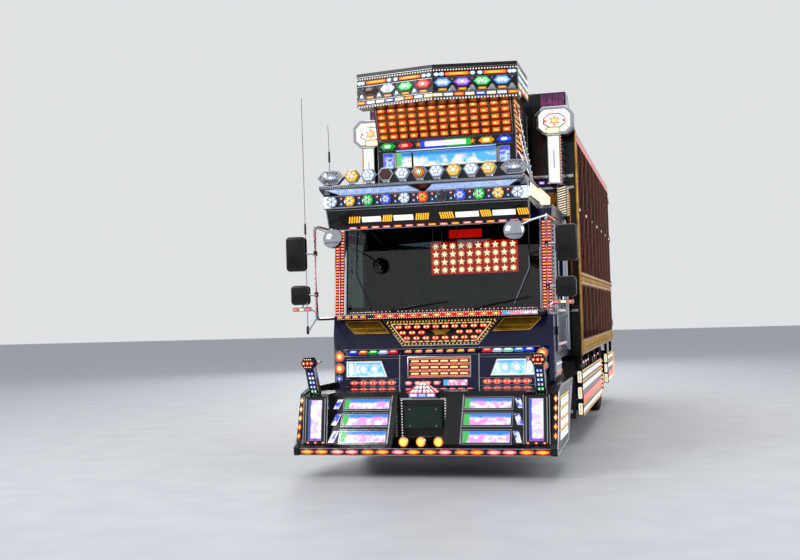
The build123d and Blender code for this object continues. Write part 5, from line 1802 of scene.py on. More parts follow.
def build_mirrors():
    """Stays, black mirror heads with silvered glass, the round under-view mirrors and the lit arm."""
    stay = 1064
    mirrors = Piece()
    for path, radius in (
        (
            [
                (stay, 1100, 2240), (stay, 500, 2240), (stay, 470, 2210), (stay, 470, 1415),
                (stay, 500, 1385), (stay, 1090, 1385)
            ],
            14
        ),
        ([(stay, 470, 1990), (1200, 440, 1990)], 10),
        ([(stay, 470, 1612), (1200, 470, 1612)], 10),
        ([(stay, 474, 2235), (940, 360, 2190), (815, 236, 2120)], 9),
    ):
        mirrors.tube(path, radius, "chrome", 12)
    for across, up in ((stay, 2240), (stay, 1385)):
        mirrors.lathe(rear_at(across, 1100, up), [(30, -20), (30, -8), (24, 0)], "black", 20)
    for up in (1990, 1612):
        mirrors.lathe(top_at(stay, 470, up - 22), [(19, 0), (19, 44), (0.1, 44)], "black", 16)
    for across, back, up, wide, tall, deep in (
        (1240, 410, 1990, 190, 320, 60), (1220, 445, 1610, 180, 180, 50)
    ):
        outline = bar(wide, tall, 34, 5)
        place = front_at(across, back + deep, up)
        levels = [(0, 0), (0, deep - 22), (3, deep - 10), (10, deep - 3), (22, deep)]
        mirrors.stack(place, outline, levels, "black")
        rim = rear_at(across, back + deep, up)
        mirrors.frame(raised(rim, -4), outline, [(0, 0), (0.5, 3), (6, 3.5), (8, 2)])
        mirrors.inlay(raised(rim, -4), shrunk(outline, 8), [(0, 2)], "mirror_glass")
        for share in spread(-tall / 2 + 30, tall / 2 - 30, 9 if tall > 200 else 5):
            mirrors.bead(front_at(across - wide / 2 + 12, back + 8, up + share), 10, "red")
    place = placed((815, 250, 2100), (1, 0, 0), (0, 0.25, 1))
    mirrors.lathe(place, [(88, 0), (92, 14), (86, 34), (60, 52), (20, 60), (0.1, 61)], "chrome", 40)
    mirrors.lathe(rear_at(815, 248, 2100), [(86, 0), (60, 6), (0.1, 10)], "mirror_glass", 40)
    mirrors.slab(front_at(1196, 450, 1478), 176, 38, 24, "chrome", 4)
    for across, paint in ((1136, "red"), (1196, "warm_white"), (1256, "red")):
        mirrors.lamp(front_at(across, 427, 1478), bar(50, 28, 8), 10, paint, 4)
    mirrors.tube([(stay, 470, 1440), (1110, 462, 1478)], 8, "chrome")
    mirrors.tube([(1196, 452, 1494), (1196, 466, 1524)], 8, "chrome")
    for share in spread(1450, 2180, 15):
        mirrors.lamp(front_at(stay, 456, share), bar(14, 26, 5), 7, "red", 3)
    for share in spread(540, 1060, 11):
        mirrors.bead(side_at(stay + 13, share, 2240), 13, "red")
    mirrors.mirror()
    mirrors.finish("mirror_set", "cab", "gloss_black", "mirrors")
    rods = Piece()
    for across, back, foot, head in ((-1150, 452, 1250, 3440), (-905, 470, 2575, 3170)):
        rods.lathe(top_at(across, back, foot), [(13, 0), (13, 60), (9, 74), (6, 76)], "black", 16)
        middle = foot + (head - foot) * 0.42
        rods.tube([(across, back, foot + 70), (across, back, middle)], 5, "chrome", 8)
        rods.lathe(top_at(across, back, middle), [(10, 0), (10, 90), (6, 100), (2.5, 104)], "black", 12)
        rods.tube([(across, back, middle + 90), (across - 8, back + 6, head)], 2.5, "black", 6)
    rods.tube([(-stay, 470, 1400), (-1150, 452, 1262)], 8, "chrome")
    rods.finish("aerial_rods", "cab", "chrome_trim")


def build_pillars():
    """Red-lit pillar strips, side pipes and vents of the cab shell."""
    strips = Piece()
    for across in (976, 1025):
        for number, up in enumerate(spread(1412, 2228, 30)):
            lens = ("red", "rose", "red", "orange")[number % 4]
            strips.lamp(slope_at(*CAB_FACE, across, up), bar(40, 22, 6, 3), 10, lens, 3)
    for across in (950, 1003, 1046):
        place, _, height = on_face(CAB_FACE, (across - 4, across + 4), (1395, 2250))
        strips.slab(place, 6, height, 13, "chrome", 2)
    for up in spread(1440, 2200, 20):
        strips.lamp(side_at(CAB_SIDE, lean(*SCREEN_FACE, up) + 36, up), bar(34, 26, 6, 3), 9, "red", 4)
    strips.tube([(1062, 1010, 1400), (1062, 1092, 2240)], 8, "chrome")
    for back in (2180, 2240):
        strips.tube([(1058, back, 1000), (1058, back, 2330)], 12, "chrome")
    for up in spread(1060, 2280, 12):
        strips.lamp(side_at(CAB_SIDE, 2110, up), bar(44, 62, 8), 9, "sky" if int(up) % 2 else "red", 5)
    for up in spread(2296, 2372, 4):
        strips.slab(side_at(CAB_SIDE, 1600, up), 900, 9, 7, "chrome", 2)
    strips.slab(side_at(CAB_SIDE, 1212, 872), 480, 130, 5, "chrome", 2)
    for back in spread(1010, 1430, 10):
        strips.lamp(side_at(1055, back, 836), bar(34, 24, 8), 8, "red", 4)
        strips.lamp(side_at(1055, back, 908), bar(34, 24, 8), 8, "white", 4)
    strips.mirror()
    strips.finish("pillar_lamps", "cab", "lamp_red")
    back = Piece()
    for across in (-700, -350, 0, 350, 700):
        back.stack(
            rear_at(across, CAB_REAR, 1900), bar(280, 620, 24), [(0, 0), (0, 4), (6, 8), (20, 8)], "navy"
        )
    for up in (1120, 1500):
        back.slab(rear_at(0, CAB_REAR, up), 2000, 40, 10, "navy", 4)
    for up in spread(1180, 1440, 9):
        back.slab(rear_at(0, CAB_REAR, up), 720, 14, 9, "plastic", 3)
    back.finish("cab_rear_ribs", "cab", "cab_blue")


def build_cab_doors():
    """Panel lines, pipes, lit strips, handles and inner trim of both cab doors."""
    for side, name in SIDES:
        door = Piece()
        door.frame(
            side_at(CAB_SIDE, 1580, 1240), bar(840, 400, 30), [(0, 0), (0, 3), (3, 5), (12, 5), (15, 2)]
        )
        for row, up in enumerate((1082, 1400)):
            for column, back in enumerate(spread(1185, 1975, 12)):
                paint = ("red", "amber", "sky")[(row + column) % 3]
                door.lamp(side_at(CAB_SIDE, back, up), bar(44, 28, 9), 10, paint, 4)
        for back in (1150, 2010):
            door.tube([(1060, back, 1020), (1060, back, 2210)], 9, "chrome")
        for back in (1178, 1200):
            door.tube([(1058, back, 1030), (1058, back, 1470)], 7, "chrome")
        for up in spread(1500, 2180, 14):
            door.bead(side_at(CAB_SIDE, 1178, up), 20, "red")
        outline = bar(736, 666, 26, 5)
        door.frame(side_at(CAB_SIDE, 1590, 1815), outline, [(-14, 0), (-14, 8), (-8, 11), (-2, 8), (0, 0)])
        place = side_at(CAB_SIDE, 1935, 1345)
        door.frame(place, bar(150, 62, 20), [(0, 0), (0, 4), (2, 6), (8, 6), (10, 2)])
        door.inlay(place, shrunk(bar(150, 62, 20), 10), [(0, 1)], "case")
        door.stack(raised(place, 3), bar(126, 26, 10), [(0, 0), (0, 17), (4, 20)], "chrome")
        inner = flank_at(-1, -1010, 1580, 1240)
        door.stack(inner, bar(820, 400, 30), [(0, 0), (0, 6), (6, 12)], "trim")
        door.stack(shifted(inner, 40, 120), bar(420, 56, 20), [(0, 12), (0, 40), (10, 50)], "plastic")
        door.frame(
            shifted(inner, 0, -120), bar(560, 110, 16), [(0, 12), (0, 26), (6, 30), (12, 30), (14, 16)],
            "plastic"
        )
        door.lathe(shifted(inner, -250, 30), [(62, 12), (62, 18), (54, 20), (50, 14), (0.1, 15)], "case", 28)
        door.tube([(1000, 1840, 1440), (960, 1840, 1440), (960, 1900, 1440)], 8, "chrome", 8)
        if side < 0:
            door.swap()
        door.finish(f"cab_door_trim_{name}", f"cab_door_{name}", "chrome_trim")


# Cab interior


def cushion(name, place, size, crown):
    """A crowned closed pad: a rounded box whose faces swell and whose corners pull in."""
    wide, deep, tall = size
    count = 14
    points, index = [], {}
    faces = []

    def corner(grid):
        if grid not in index:
            unit = [2 * value / count - 1 for value in grid]
            reach = [0.0, 0.0, 0.0]
            for axis in range(3):
                others = [unit[other] for other in range(3) if other != axis]
                pull = 1 - 0.045 * (others[0] ** 4 + others[1] ** 4)
                reach[axis] = unit[axis] * pull
            length = sum(abs(value) ** 7 for value in reach) ** (1 / 7)
            largest = max(abs(value) for value in unit)
            reach = [value / length * largest for value in reach]
            swell = (1 - reach[0] ** 2) * (1 - reach[1] ** 2) * crown
            points.append((reach[0] * wide / 2, reach[1] * deep / 2, reach[2] * (tall / 2 + swell)))
            index[grid] = len(points) - 1
        return index[grid]

    for axis in range(3):
        first, second = (axis + 1) % 3, (axis + 2) % 3
        for end in (0, count):
            for one in range(count):
                for two in range(count):
                    ring = []
                    for a, b in ((0, 0), (1, 0), (1, 1), (0, 1)):
                        grid = [0, 0, 0]
                        grid[axis], grid[first], grid[second] = end, one + a, two + b
                        ring.append(corner(tuple(grid)))
                    faces.append(ring if end else ring[::-1])
    mesh = bpy.data.meshes.new(name)
    placed_points = [place @ Vector(point) for point in points]
    mesh.from_pydata([(p.x * MM, (FRONT + p.y) * MM, p.z * MM) for p in placed_points], [], faces)
    made = linked(name, mesh)
    made.data.materials.append(MATERIALS["cloth"])
    return made


CUSHION_CAP = 9
VOXEL = 9


def inflate(made):
    """Swells a pad by cloth pressure, with every point's move capped."""
    bpy.context.view_layer.objects.active = made
    remesh = made.modifiers.new("voxels", "REMESH")
    remesh.mode = "VOXEL"
    remesh.voxel_size = VOXEL * MM
    apply_modifiers(made)
    start = [point.co.copy() for point in made.data.vertices]
    cloth = made.modifiers.new("cloth", "CLOTH")
    cloth.settings.use_pressure = True
    cloth.settings.uniform_pressure_force = 4.0
    cloth.settings.effector_weights.gravity = 0.0
    cloth.settings.quality = 4
    scene = bpy.context.scene
    for step in range(1, 21):
        scene.frame_set(step)
        bpy.context.view_layer.update()
    apply_modifiers(made)
    scene.frame_set(1)
    for point, first in zip(made.data.vertices, start):
        move = point.co - first
        if move.length > CUSHION_CAP * MM:
            point.co = first + move * (CUSHION_CAP * MM / move.length)


def apply_modifiers(made):
    """Replaces an object's mesh by what its modifiers make of it."""
    graph = bpy.context.evaluated_depsgraph_get()
    graph.update()
    fresh = bpy.data.meshes.new_from_object(made.evaluated_get(graph), depsgraph=graph)
    made.modifiers.clear()
    made.data = fresh


def build_seats():
    """Two upholstered seats with piped cushions, channelled backs and head rests."""
    bases = Piece()
    for side in (-1, 1):
        middle = 715 * side
        bases.stack(
            top_at(middle, 1775, 990), bar(440, 400, 30), [(0, 0), (0, 150), (20, 190), (30, 240)],
            "plastic"
        )
        bases.slab(top_at(middle, 1780, 1225), 470, 440, 26, "case", 4)
        lean_back = placed((middle, 2120, 1690), (1, 0, 0), (0, 60, 700))
        bases.stack(raised(lean_back, -34), bar(460, 640, 60, 6), [(0, 0), (0, 34), (10, 50)], "plastic")
        for across in (-70, 70):
            bases.tube([(middle + across, 2100, 1900), (middle + across, 2105, 1960)], 8, "chrome", 8)
        for knob in (-1, 1):
            bases.lathe(
                flank_at(knob, 234 + knob * middle, 1990, 1350), [(30, 0), (30, 8), (22, 10), (0.1, 11)],
                "plastic"
            )
    bases.finish("seat_frames", "cab", "dash_plastic", "seats")
    for side, name in SIDES:
        middle = 715 * side
        seat_place = placed((middle, 1780, 1318), (1, 0, 0), (0, 1, 0.04))
        seat = cushion(f"seat_cushion_{name}", seat_place, (464, 400, 96), 10)
        back_place = placed((middle, 2062, 1672), (1, 0, 0), (0, 60, 700))
        back = cushion(f"seat_back_{name}", back_place, (448, 500, 92), 8)
        rest_place = placed((middle, 2100, 1975), (1, 0, 0), (0, 30, 700))
        rest = cushion(f"head_rest_{name}", rest_place, (270, 112, 76), 5)
        for pad in (seat, back, rest):
            inflate(pad)
            smooth(pad)
            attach(pad, "cab")
        seams = Piece()
        for place, wide, tall, out in ((seat_place, 440, 380, 57), (back_place, 424, 476, 53)):
            for share in (-0.25, 0.25):
                path = []
                for step in range(13):
                    along = (step / 12 - 0.5) * tall * 0.9
                    bulge = (1 - (2 * along / tall) ** 2) * 7
                    path.append(place @ Vector((share * wide, along, out - 5 + bulge)))
                seams.tube(path, 3.5, "trim", 6)
        seams.finish(f"seat_piping_{name}", "cab", "seat_cloth")


def smooth(made):
    """Smooth shading all over a pad."""
    made.data.polygons.foreach_set("use_smooth", [True] * len(made.data.polygons))
    made.data.update()


def dash_at(across):
    """A place on the dashboard's sloping face."""
    return placed((across, 1262, 1384), (-1, 0, 0), (0, -130, 95))


def build_dashboard():
    """Gauges, switches, vents, the wheel's rim and spokes, and the lever on the engine tunnel."""
    dash = Piece()
    slope = dash_at(-480)
    for across, radius in ((-120, 52), (0, 60), (120, 52)):
        spot = shifted(slope, across, 0, 2)
        dash.lathe(spot, [(radius, 0), (radius, 12), (radius - 6, 14), (radius - 9, 6), (0.1, 5)], "case", 36)
        dash.lathe(spot, [(radius - 10, 6), (radius - 14, 7), (radius - 15, 6)], "chrome", 36)
        for tick in range(11):
            mark = shifted(turned(spot, math.radians(-30 + tick * 24)), radius - 20, 0, 5.5)
            dash.slab(mark, 9, 2.5, 1.5, "print_white", 0.4)
        needle = shifted(turned(spot, math.radians(150)), radius * 0.3, 0, 7)
        dash.slab(needle, radius * 0.6, 3, 2, "red", 0.5)
    middle = dash_at(0)
    dash.frame(raised(middle, 1), bar(240, 90, 8), [(0, 0), (0, 8), (4, 12), (10, 12), (12, 6)], "case")
    for row in (-22, 22):
        for across in spread(-84, 84, 6):
            dash.stack(shifted(middle, across, row, 3), bar(22, 26, 4), [(0, 0), (0, 5), (3, 8)], "plastic")
            dash.bead(shifted(middle, across, row + 8, 10), 4, "green")
    for across in (-860, -230, 230, 860):
        vent = dash_at(across)
        dash.frame(raised(vent, 1), bar(170, 74, 12), [(0, 0), (0, 8), (3, 10), (8, 10), (10, 2)], "case")
        for up in spread(-24, 24, 5):
            dash.slab(shifted(vent, 0, up, 2), 150, 5, 6, "plastic", 1)
    glove = dash_at(560)
    dash.stack(raised(glove, 1), bar(330, 100, 14), [(0, 0), (2, 6), (6, 7)], "plastic")
    dash.slab(shifted(glove, 0, -30, 7), 60, 12, 6, "chrome", 2)
    centre = Vector((-480, 1400, 1480))
    foot = Vector((-480, 1210, 1330))
    axis = (centre - foot).normalized()
    disc = placed(centre, (1, 0, 0), axis.cross(Vector((1, 0, 0))))
    if (disc.to_3x3() @ Vector((0, 0, 1))).dot(axis) < 0:
        disc = disc @ Matrix.Rotation(math.pi, 4, "X")
    for turn in (0, 2 * math.pi / 3, 4 * math.pi / 3):
        spoke = shifted(turned(disc, turn - math.pi / 2), 118, 0, 8)
        dash.slab(spoke, 150, 26, 10, "case", 3)
    dash.lathe(raised(disc, 4), [(58, 0), (56, 14), (40, 22), (0.1, 25)], "plastic", 32)
    for spot in around(disc, 215, 48):
        dash.lathe(raised(spot, 10), [(6, 0), (5, 3), (0.1, 5)], "case", 8)
    dash.tube([(-120, 1560, 1190), (-120, 1530, 1420)], 9, "chrome", 10)
    dash.lathe(top_at(-120, 1560, 1190), [(60, 0), (44, 18), (26, 34), (12, 40)], "flap", 24)
    dash.lathe(top_at(-120, 1530, 1405), [(10, 0), (26, 14), (31, 34), (24, 54), (0.1, 62)], "rose", 24)
    dash.stack(top_at(0, 1800, 1190), bar(760, 620, 40), [(0, 0), (0, 8), (14, 22), (30, 26)], "cloth")
    for across in spread(-300, 300, 6):
        dash.slab(top_at(across, 1800, 1212), 8, 560, 6, "trim", 2)
    dash.finish("dashboard_details", "cab", "dash_plastic")


# Box body


def build_box_sides():
    """Reeded bronze panels, gilt bands with pressed lozenges, and the roof edge's red markers."""
    pitch = sizes().reed_pitch / MM
    first, last = 2600, 8030
    count = int((last - first) / pitch)
    sides = Piece()
    pitch = (last - first) / count
    for low, high in ((1092, 1668), (1812, 3200)):
        points = []
        for step in range(count * 8 + 1):
            bulge = 1 + 14 * math.sin(math.pi * (step % 8) / 8)
            for up in (low, high):
                points.append((1160 + bulge, first + pitch * step / 8, up))
        faces = [(2 * step, 2 * step + 2, 2 * step + 3, 2 * step + 1) for step in range(8)]
        # Two reeds in three take the darker bronze: painted dark reflection stripes across the reeded side
        for reed in range(count):
            sides.add(
                Matrix(), points[reed * 16:reed * 16 + 18], faces, "dark_bronze" if reed % 3 else "bronze"
            )
    for back in spread(first, last, count + 1):
        sides.tube([(1162, back, 1085), (1162, back, 3208)], 5, "gilt_plain", 6)
    for back in spread(2760, 7860, 7):
        sides.lathe(
            side_at(BOX_SIDE, back, 2480), [(17, 8), (13, 15), (0.1, 17)], "warm_white", 12, [0.2, 0.7, 1.0]
        )
    sides.mirror()
    sides.finish("box_side_panels", "chassis", "mirror_bronze")
    bands = Piece()
    for back in spread(2620, 8000, 72):
        place = side_at(BOX_SIDE, back, 1740)
        bands.stack(place, ngon(70, 62, 4), [(0, 0), (5, 8), (18, 10)], "gilt_plain", (15, 0.0))
        bands.stack(
            side_at(1168, back, 1006), ngon(66, 100, 4), [(0, 0), (4, 6), (14, 6), (17, 3)], "gilt_plain",
            (9, 0.0)
        )
    for back in spread(2657, 7962, 71):
        for up in (966, 1046):
            bands.lathe(side_at(1168, back, up), [(17, 0), (12, 6), (0.1, 8)], "gilt_plain", 10)
    for up, out in ((938, 1168), (1072, 1168), (1692, 1178), (1788, 1178)):
        bands.tube([(out, 2575, up), (out, 8036, up)], 5, "gilt_plain", 8)
    bands.stack(side_at(1172, 2524, 2115), bar(60, 2370, 6), [(0, 0), (0, 3), (2, 4)], "black")
    for up in spread(1000, 3240, 32):
        bands.stack(side_at(1175, 2520, up), ngon(34, 40, 4), [(0, 0), (4, 4)], "gilt_plain", (7, 0.0))
    for back in (2486, 2562):
        bands.tube([(1172, back, 925), (1172, back, 3305)], 5, "gilt_plain", 8)
    bands.mirror()
    bands.finish("gilt_band_pressings", "chassis", "gilt")
    roof = Piece()
    pitch = 132.4
    for index in range(41):
        back = 2610 + pitch * (index + 0.5)
        place = side_at(BOX_SIDE, back, 3240)
        roof.frame(place, bar(pitch - 4, 50), [(0, 0), (0, 4), (3, 6), (4, 3)])
        roof.inlay(place, shrunk(bar(pitch - 4, 50), 4), [(0, 3), (10, 12), (16, 14)], "print_red")
    roof.mirror()
    roof.finish("roof_edge_lamps", "chassis", "lamp_red", "roof_markers")
    build_body_frame()


def build_body_frame():
    """Roof ribs, load restraint rails, headboard panel and the wall posts inside the box."""
    body = Piece()
    for back in spread(2700, 7960, 15):
        body.slab(top_at(0, back, 3310), 2260, 42, 14, "roof", 4)
        body.slab(placed((0, back, 3280), (1, 0, 0), (0, -1, 0)), 2250, 40, 26, "aluminium", 3)
    for side in (-1, 1):
        for up in (1350, 2050, 2750):
            inner = flank_at(-side, -1130, 5300, up)
            body.slab(inner, 5540, 90, 12, "aluminium", 3)
            for back in spread(-2720, 2720, 56):
                body.stack(shifted(inner, back, 0, 11), bar(14, 60, 6), [(0, 0), (2, 2)], "case")
        for back in spread(2600, 8000, 11):
            body.slab(flank_at(-side, -1130, back, 1680), 44, 1240, 7, "boards", 2)
        body.slab(flank_at(-side, -1130, 5300, 3180), 5540, 60, 18, "aluminium", 4)
    body.finish("body_ribs", "chassis", "tank_aluminium")
    board = Piece()
    for across in spread(-960, 960, 7):
        board.stack(
            front_at(across, HEADBOARD_FACE, 2050), bar(270, 1200, 20), [(0, 0), (0, 6), (5, 10), (24, 10)],
            "bronze"
        )
    for across in spread(-900, 900, 20):
        board.lamp(front_at(across, HEADBOARD_FACE, 2760), bar(70, 40, 14), 11, "violet", 5)
    for up in (1400, 2700, 2820):
        board.slab(front_at(0, HEADBOARD_FACE, up), 2280, 30, 12, "chrome", 4)
    board.finish("headboard_panels", "chassis", "chrome_trim")


def build_headboard_lamps():
    """Lit corner panels, octagon lamps, slatted boxes and the cap box's violet front."""
    lamps = Piece()
    place = front_at(985, 2080, 2950)
    lit_panel(lamps, place, bar(126, 490, 5), 10, "print_white", 9)
    lamps.slab(raised(place, 5), 8, 190, 3, "blue", 1)
    for up in spread(2720, 3180, 15):
        lamps.bead(front_at(1056, 2084, up), 15, "red")
        lamps.bead(side_at(CAB_SIDE, 2110, up), 15, "red")
    lamps.slab(side_at(CAB_SIDE, 2280, 2950), 380, 480, 6, "chrome", 4)
    for up in spread(2760, 3140, 6):
        lamps.slab(side_at(1056, 2280, up), 340, 26, 6, "case", 3)
    for up in (2702, 3198):
        lamps.slab(front_at(985, 2076, up), 150, 12, 10, "chrome", 3)
    octagon = [
        (120, 148), (-120, 148), (-192, 76), (-192, -76), (-120, -148), (120, -148), (192, -76), (192, 76)
    ]
    face = front_at(989, 2200, 3366)
    lamps.frame(face, octagon, [(0, 0), (0, 18), (5, 24), (26, 24), (32, 14)])
    lamps.inlay(face, shrunk(octagon, 32), [(0, 14), (16, 10)], "print_white")
    lamps.frame(raised(face, 11), ngon(250, 170, 8, 0.5), [(0, 0), (0, 4), (3, 6), (9, 6), (12, 2)])
    lamps.stack(raised(face, 11), star(62, 6, 0.5), [(0, 0, 0.0), (6, 6, 0.4)], "amber", (12, 0.9))
    for step in range(12):
        angle = math.pi * (step + 0.5) / 6
        lamps.bead(shifted(face, 138 * math.cos(angle), 98 * math.sin(angle), 13), 16, "sky")
    for side in (-1, 1):
        ray = shifted(face, side * 96, 0, 11)
        lamps.stack(ray, ngon(44, 30, 4), [(0, 0, 0.1), (3, 5, 0.3)], "red", (8, 0.6))
    lamps.lamp(front_at(972, 2176, 3262), bar(156, 74, 34, 5), 16, "warm_white", 7)
    lamps.tube([(972, 2186, 3262), (972, 2200, 3262)], 26, "chrome")
    for up in spread(2402, 2678, 12):
        slat = placed((1029, 2310, up), (1, 0, 0.24), (-0.24, 0, 1))
        lamps.slab(slat, 84, 11, 8, "print_cream", 2)
        lamps.slab(placed((1080, 2395, up), (0, 1, 0.12), (0, -0.12, 1)), 150, 11, 7, "print_cream", 2)
    for across in (982, 1078):
        lamps.tube([(across, 2310, 2384), (across, 2310, 2696)], 5, "chrome", 8)
    for up in (2384, 2696):
        lamps.tube([(980, 2310, up), (1078, 2310, up), (1078, 2478, up)], 5, "chrome", 8)
    lamps.mirror()
    lamps.finish("corner_box_lamps", "chassis", "lamp_white")
    cap = Piece()
    for across in spread(-630, 630, 6):
        cap.stack(
            front_at(across, CAP_FACE, 3525), bar(230, 370, 16), [(0, 0), (0, 6), (4, 10), (20, 10)],
            "black"
        )
    cap.slab(top_at(0, 2652, 3722), 2140, 250, 6, "black", 3)
    for side in (-1, 1):
        lit_panel(cap, front_at(side * 942, CAP_FACE, 3645), bar(258, 140, 6), 12, "print_plum", 6, "case")
        for across in (-64, 0, 64):
            cap.slab(front_at(side * 942 + across, 2510, 3645), 4, 132, 8, "case", 1)
        cap.stack(
            front_at(side * 942, CAP_FACE, 3440), bar(250, 220, 16), [(0, 0), (0, 6), (4, 10), (20, 10)],
            "black"
        )
        lit_panel(cap, flank_at(side, 1080, 2652, 3500), bar(250, 340, 10), 8, "print_plum", 10)
    cap.finish("cap_box_panels", "chassis", "lamp_white")


def build_side_guards():
    """Rows of lit panels, the red band and the amber end dots of the side guards."""
    guards = Piece()
    for first, last, low in ((2620, 5560, 280), (6960, 8180, 330)):
        length = last - first
        for up, tall in ((low + 52, 58), (580, 62), (700, 58)):
            for back in spread(first + 80, last - 150, int(length / 150)):
                cell = side_at(BUMPER_SIDE, back, up)
                for mark in (-50, 12):
                    part = shifted(cell, mark, 0)
                    lit_cell(guards, part, slanted(54 if mark < 0 else 22, tall, 24), 4, "print_white", 2)
        for back in spread(first + 60, last - 140, int(length / 92)):
            lit_cell(guards, side_at(BUMPER_SIDE, back, 455), slanted(80, 84, 20), 5, "print_red", 3)
        for up in (low + 2, 394, 640, 752):
            for back in spread(first + 40, last - 120, int(length / 95)):
                guards.stack(
                    side_at(BUMPER_SIDE, back, up), slanted(40, 10, 8), [(0, 0, 0.1), (2, 3, 0.3)], "yellow"
                )
        for up in (515, 745):
            guards.slab(side_at(BUMPER_SIDE, (first + last) / 2 - 40, up), length - 120, 6, 5, "chrome", 2)
        for up in spread(low + 60, 720, 8):
            guards.bead(side_at(BUMPER_SIDE, last - 38, up), 38, "amber")
        for up in spread(low + 70, 690, 3):
            lit_cell(guards, front_at(1120, first, up), bar(50, 130, 16), 8, "print_cream", 4)
            guards.slab(raised(front_at(1120, first, up), 7), 4, 100, 3, "case", 1)
    guards.mirror()
    guards.finish("side_guard_lamps", "chassis", "lamp_white")
    flaps = Piece()
    for across, back, low in ((840, 2490, 300), (842, 6825, 250)):
        place = front_at(across, back, low + 34) if back < 3000 else rear_at(across, back, low + 34)
        flaps.stack(place, bar(420, 46, 6), [(0, 0), (2, 4), (8, 5)], "chrome")
        for step in spread(-180, 180, 6):
            flaps.lathe(shifted(place, step, 0, 4), [(7, 0), (6, 4), (0.1, 5)], "chrome", 10)
    for back in (2740, 3040, 3340, 4300, 4900):
        flaps.lamp(side_at(BUMPER_SIDE, back, 842), bar(150, 30, 12), 10, "rose", 5)
        flaps.slab(top_at(1120, back, 770), 30, 160, 60, "case", 3)
    flaps.mirror()
    flaps.finish("flap_weights", "chassis", "mud_rubber")


# Tail


def build_tail():
    """Rear doors' panels and hardware, the portal's lamps and the rear bumper's lamp clusters."""
    for side, name in SIDES:
        door = Piece()
        for low, high in ((1040, 1560), (1640, 2400), (2480, 3230)):
            for across in (330, 650, 930):
                wide = 250 if across < 900 else 190
                outline = bar(wide, high - low, 14)
                levels = [(0, 0), (0, 3), (4, 6), (22, 6)]
                door.inlay(rear_at(across, DOOR_FACE, (low + high) / 2), outline, levels, "bronze")
        for up in (1600, 2440):
            for across in spread(470, 1020, 7):
                door.lamp(rear_at(across, DOOR_FACE, up), bar(60, 34, 12), 7, "red", 4)
        for up in (1060, 1420, 2000, 2600, 3200):
            door.stack(rear_at(160, DOOR_FACE, up), bar(64, 40, 6), [(0, 0), (0, 20), (6, 26)], "chrome")
        door.stack(rear_at(290, 8212, 1595), bar(250, 24, 10), [(0, 0), (0, 8), (4, 12)], "chrome")
        for up in spread(1010, 3260, 2):
            door.lathe(top_at(160, 8198, up - 5), [(18, 0), (18, 12), (0.1, 12)], "iron", 12)
        for across in (8, 1118):
            door.slab(rear_at(across, DOOR_FACE, 2135), 10, 2256, 5, "flap", 2)
        for up in spread(1180, 3120, 9):
            door.slab(front_at(560, 8155, up), 1080, 50, 6, "aluminium", 3)
        if side < 0:
            door.swap()
        door.finish(f"rear_door_panels_{name}", f"rear_door_{name}", "mirror_bronze")
    portal = Piece()
    for across in spread(-1020, 1020, 18):
        portal.lamp(
            rear_at(across, PORTAL_FACE, 3258), bar(88, 34, 12), 11,
            "red" if abs(across) > 500 else "amber", 5
        )
    for across in spread(-1060, 1060, 30):
        portal.lamp(rear_at(across, PORTAL_FACE, 976), bar(58, 28, 8), 4, "rose", 4)
    for _ in range(2):
        portal.slab(rear_at(0, PORTAL_FACE, 3292), 2260, 18, 12, "gilt_plain", 3)
    portal.finish("portal_lamps", "chassis", "lamp_red")
    tail = Piece()
    for across, paint in ((640, "amber"), (800, "red"), (960, "red"), (1068, "warm_white")):
        wide = 150 if across < 1000 else 60
        outline = bar(wide, 190, 16)
        place = rear_at(across, TAIL_FACE, 580)
        tail.frame(place, outline, [(0, 0), (0, 8), (2, 10), (7, 10), (9, 6)])
        tail.inlay(place, shrunk(outline, 9), [(0, 5, 0.1), (8, 11, 0.5)], paint, (14, 0.9))
    tail.stack(rear_at(840, TAIL_FACE, 580), bar(560, 220, 10), [(0, 0), (0, 4)], "case")
    tail.mirror()
    plate = rear_at(0, TAIL_FACE, 580)
    tail.stack(plate, bar(350, 190, 10), [(0, 0), (0, 5), (3, 8), (7, 8), (9, 6)], "plate")
    for across in spread(-1090, 1090, 34):
        tail.bead(rear_at(across, TAIL_FACE, 728), 15, "rose")
        tail.bead(rear_at(across, TAIL_FACE, 428), 15, "amber")
    tail.finish("tail_lamp_set", "chassis", "lamp_red", "tail_lamps")


# Underbody


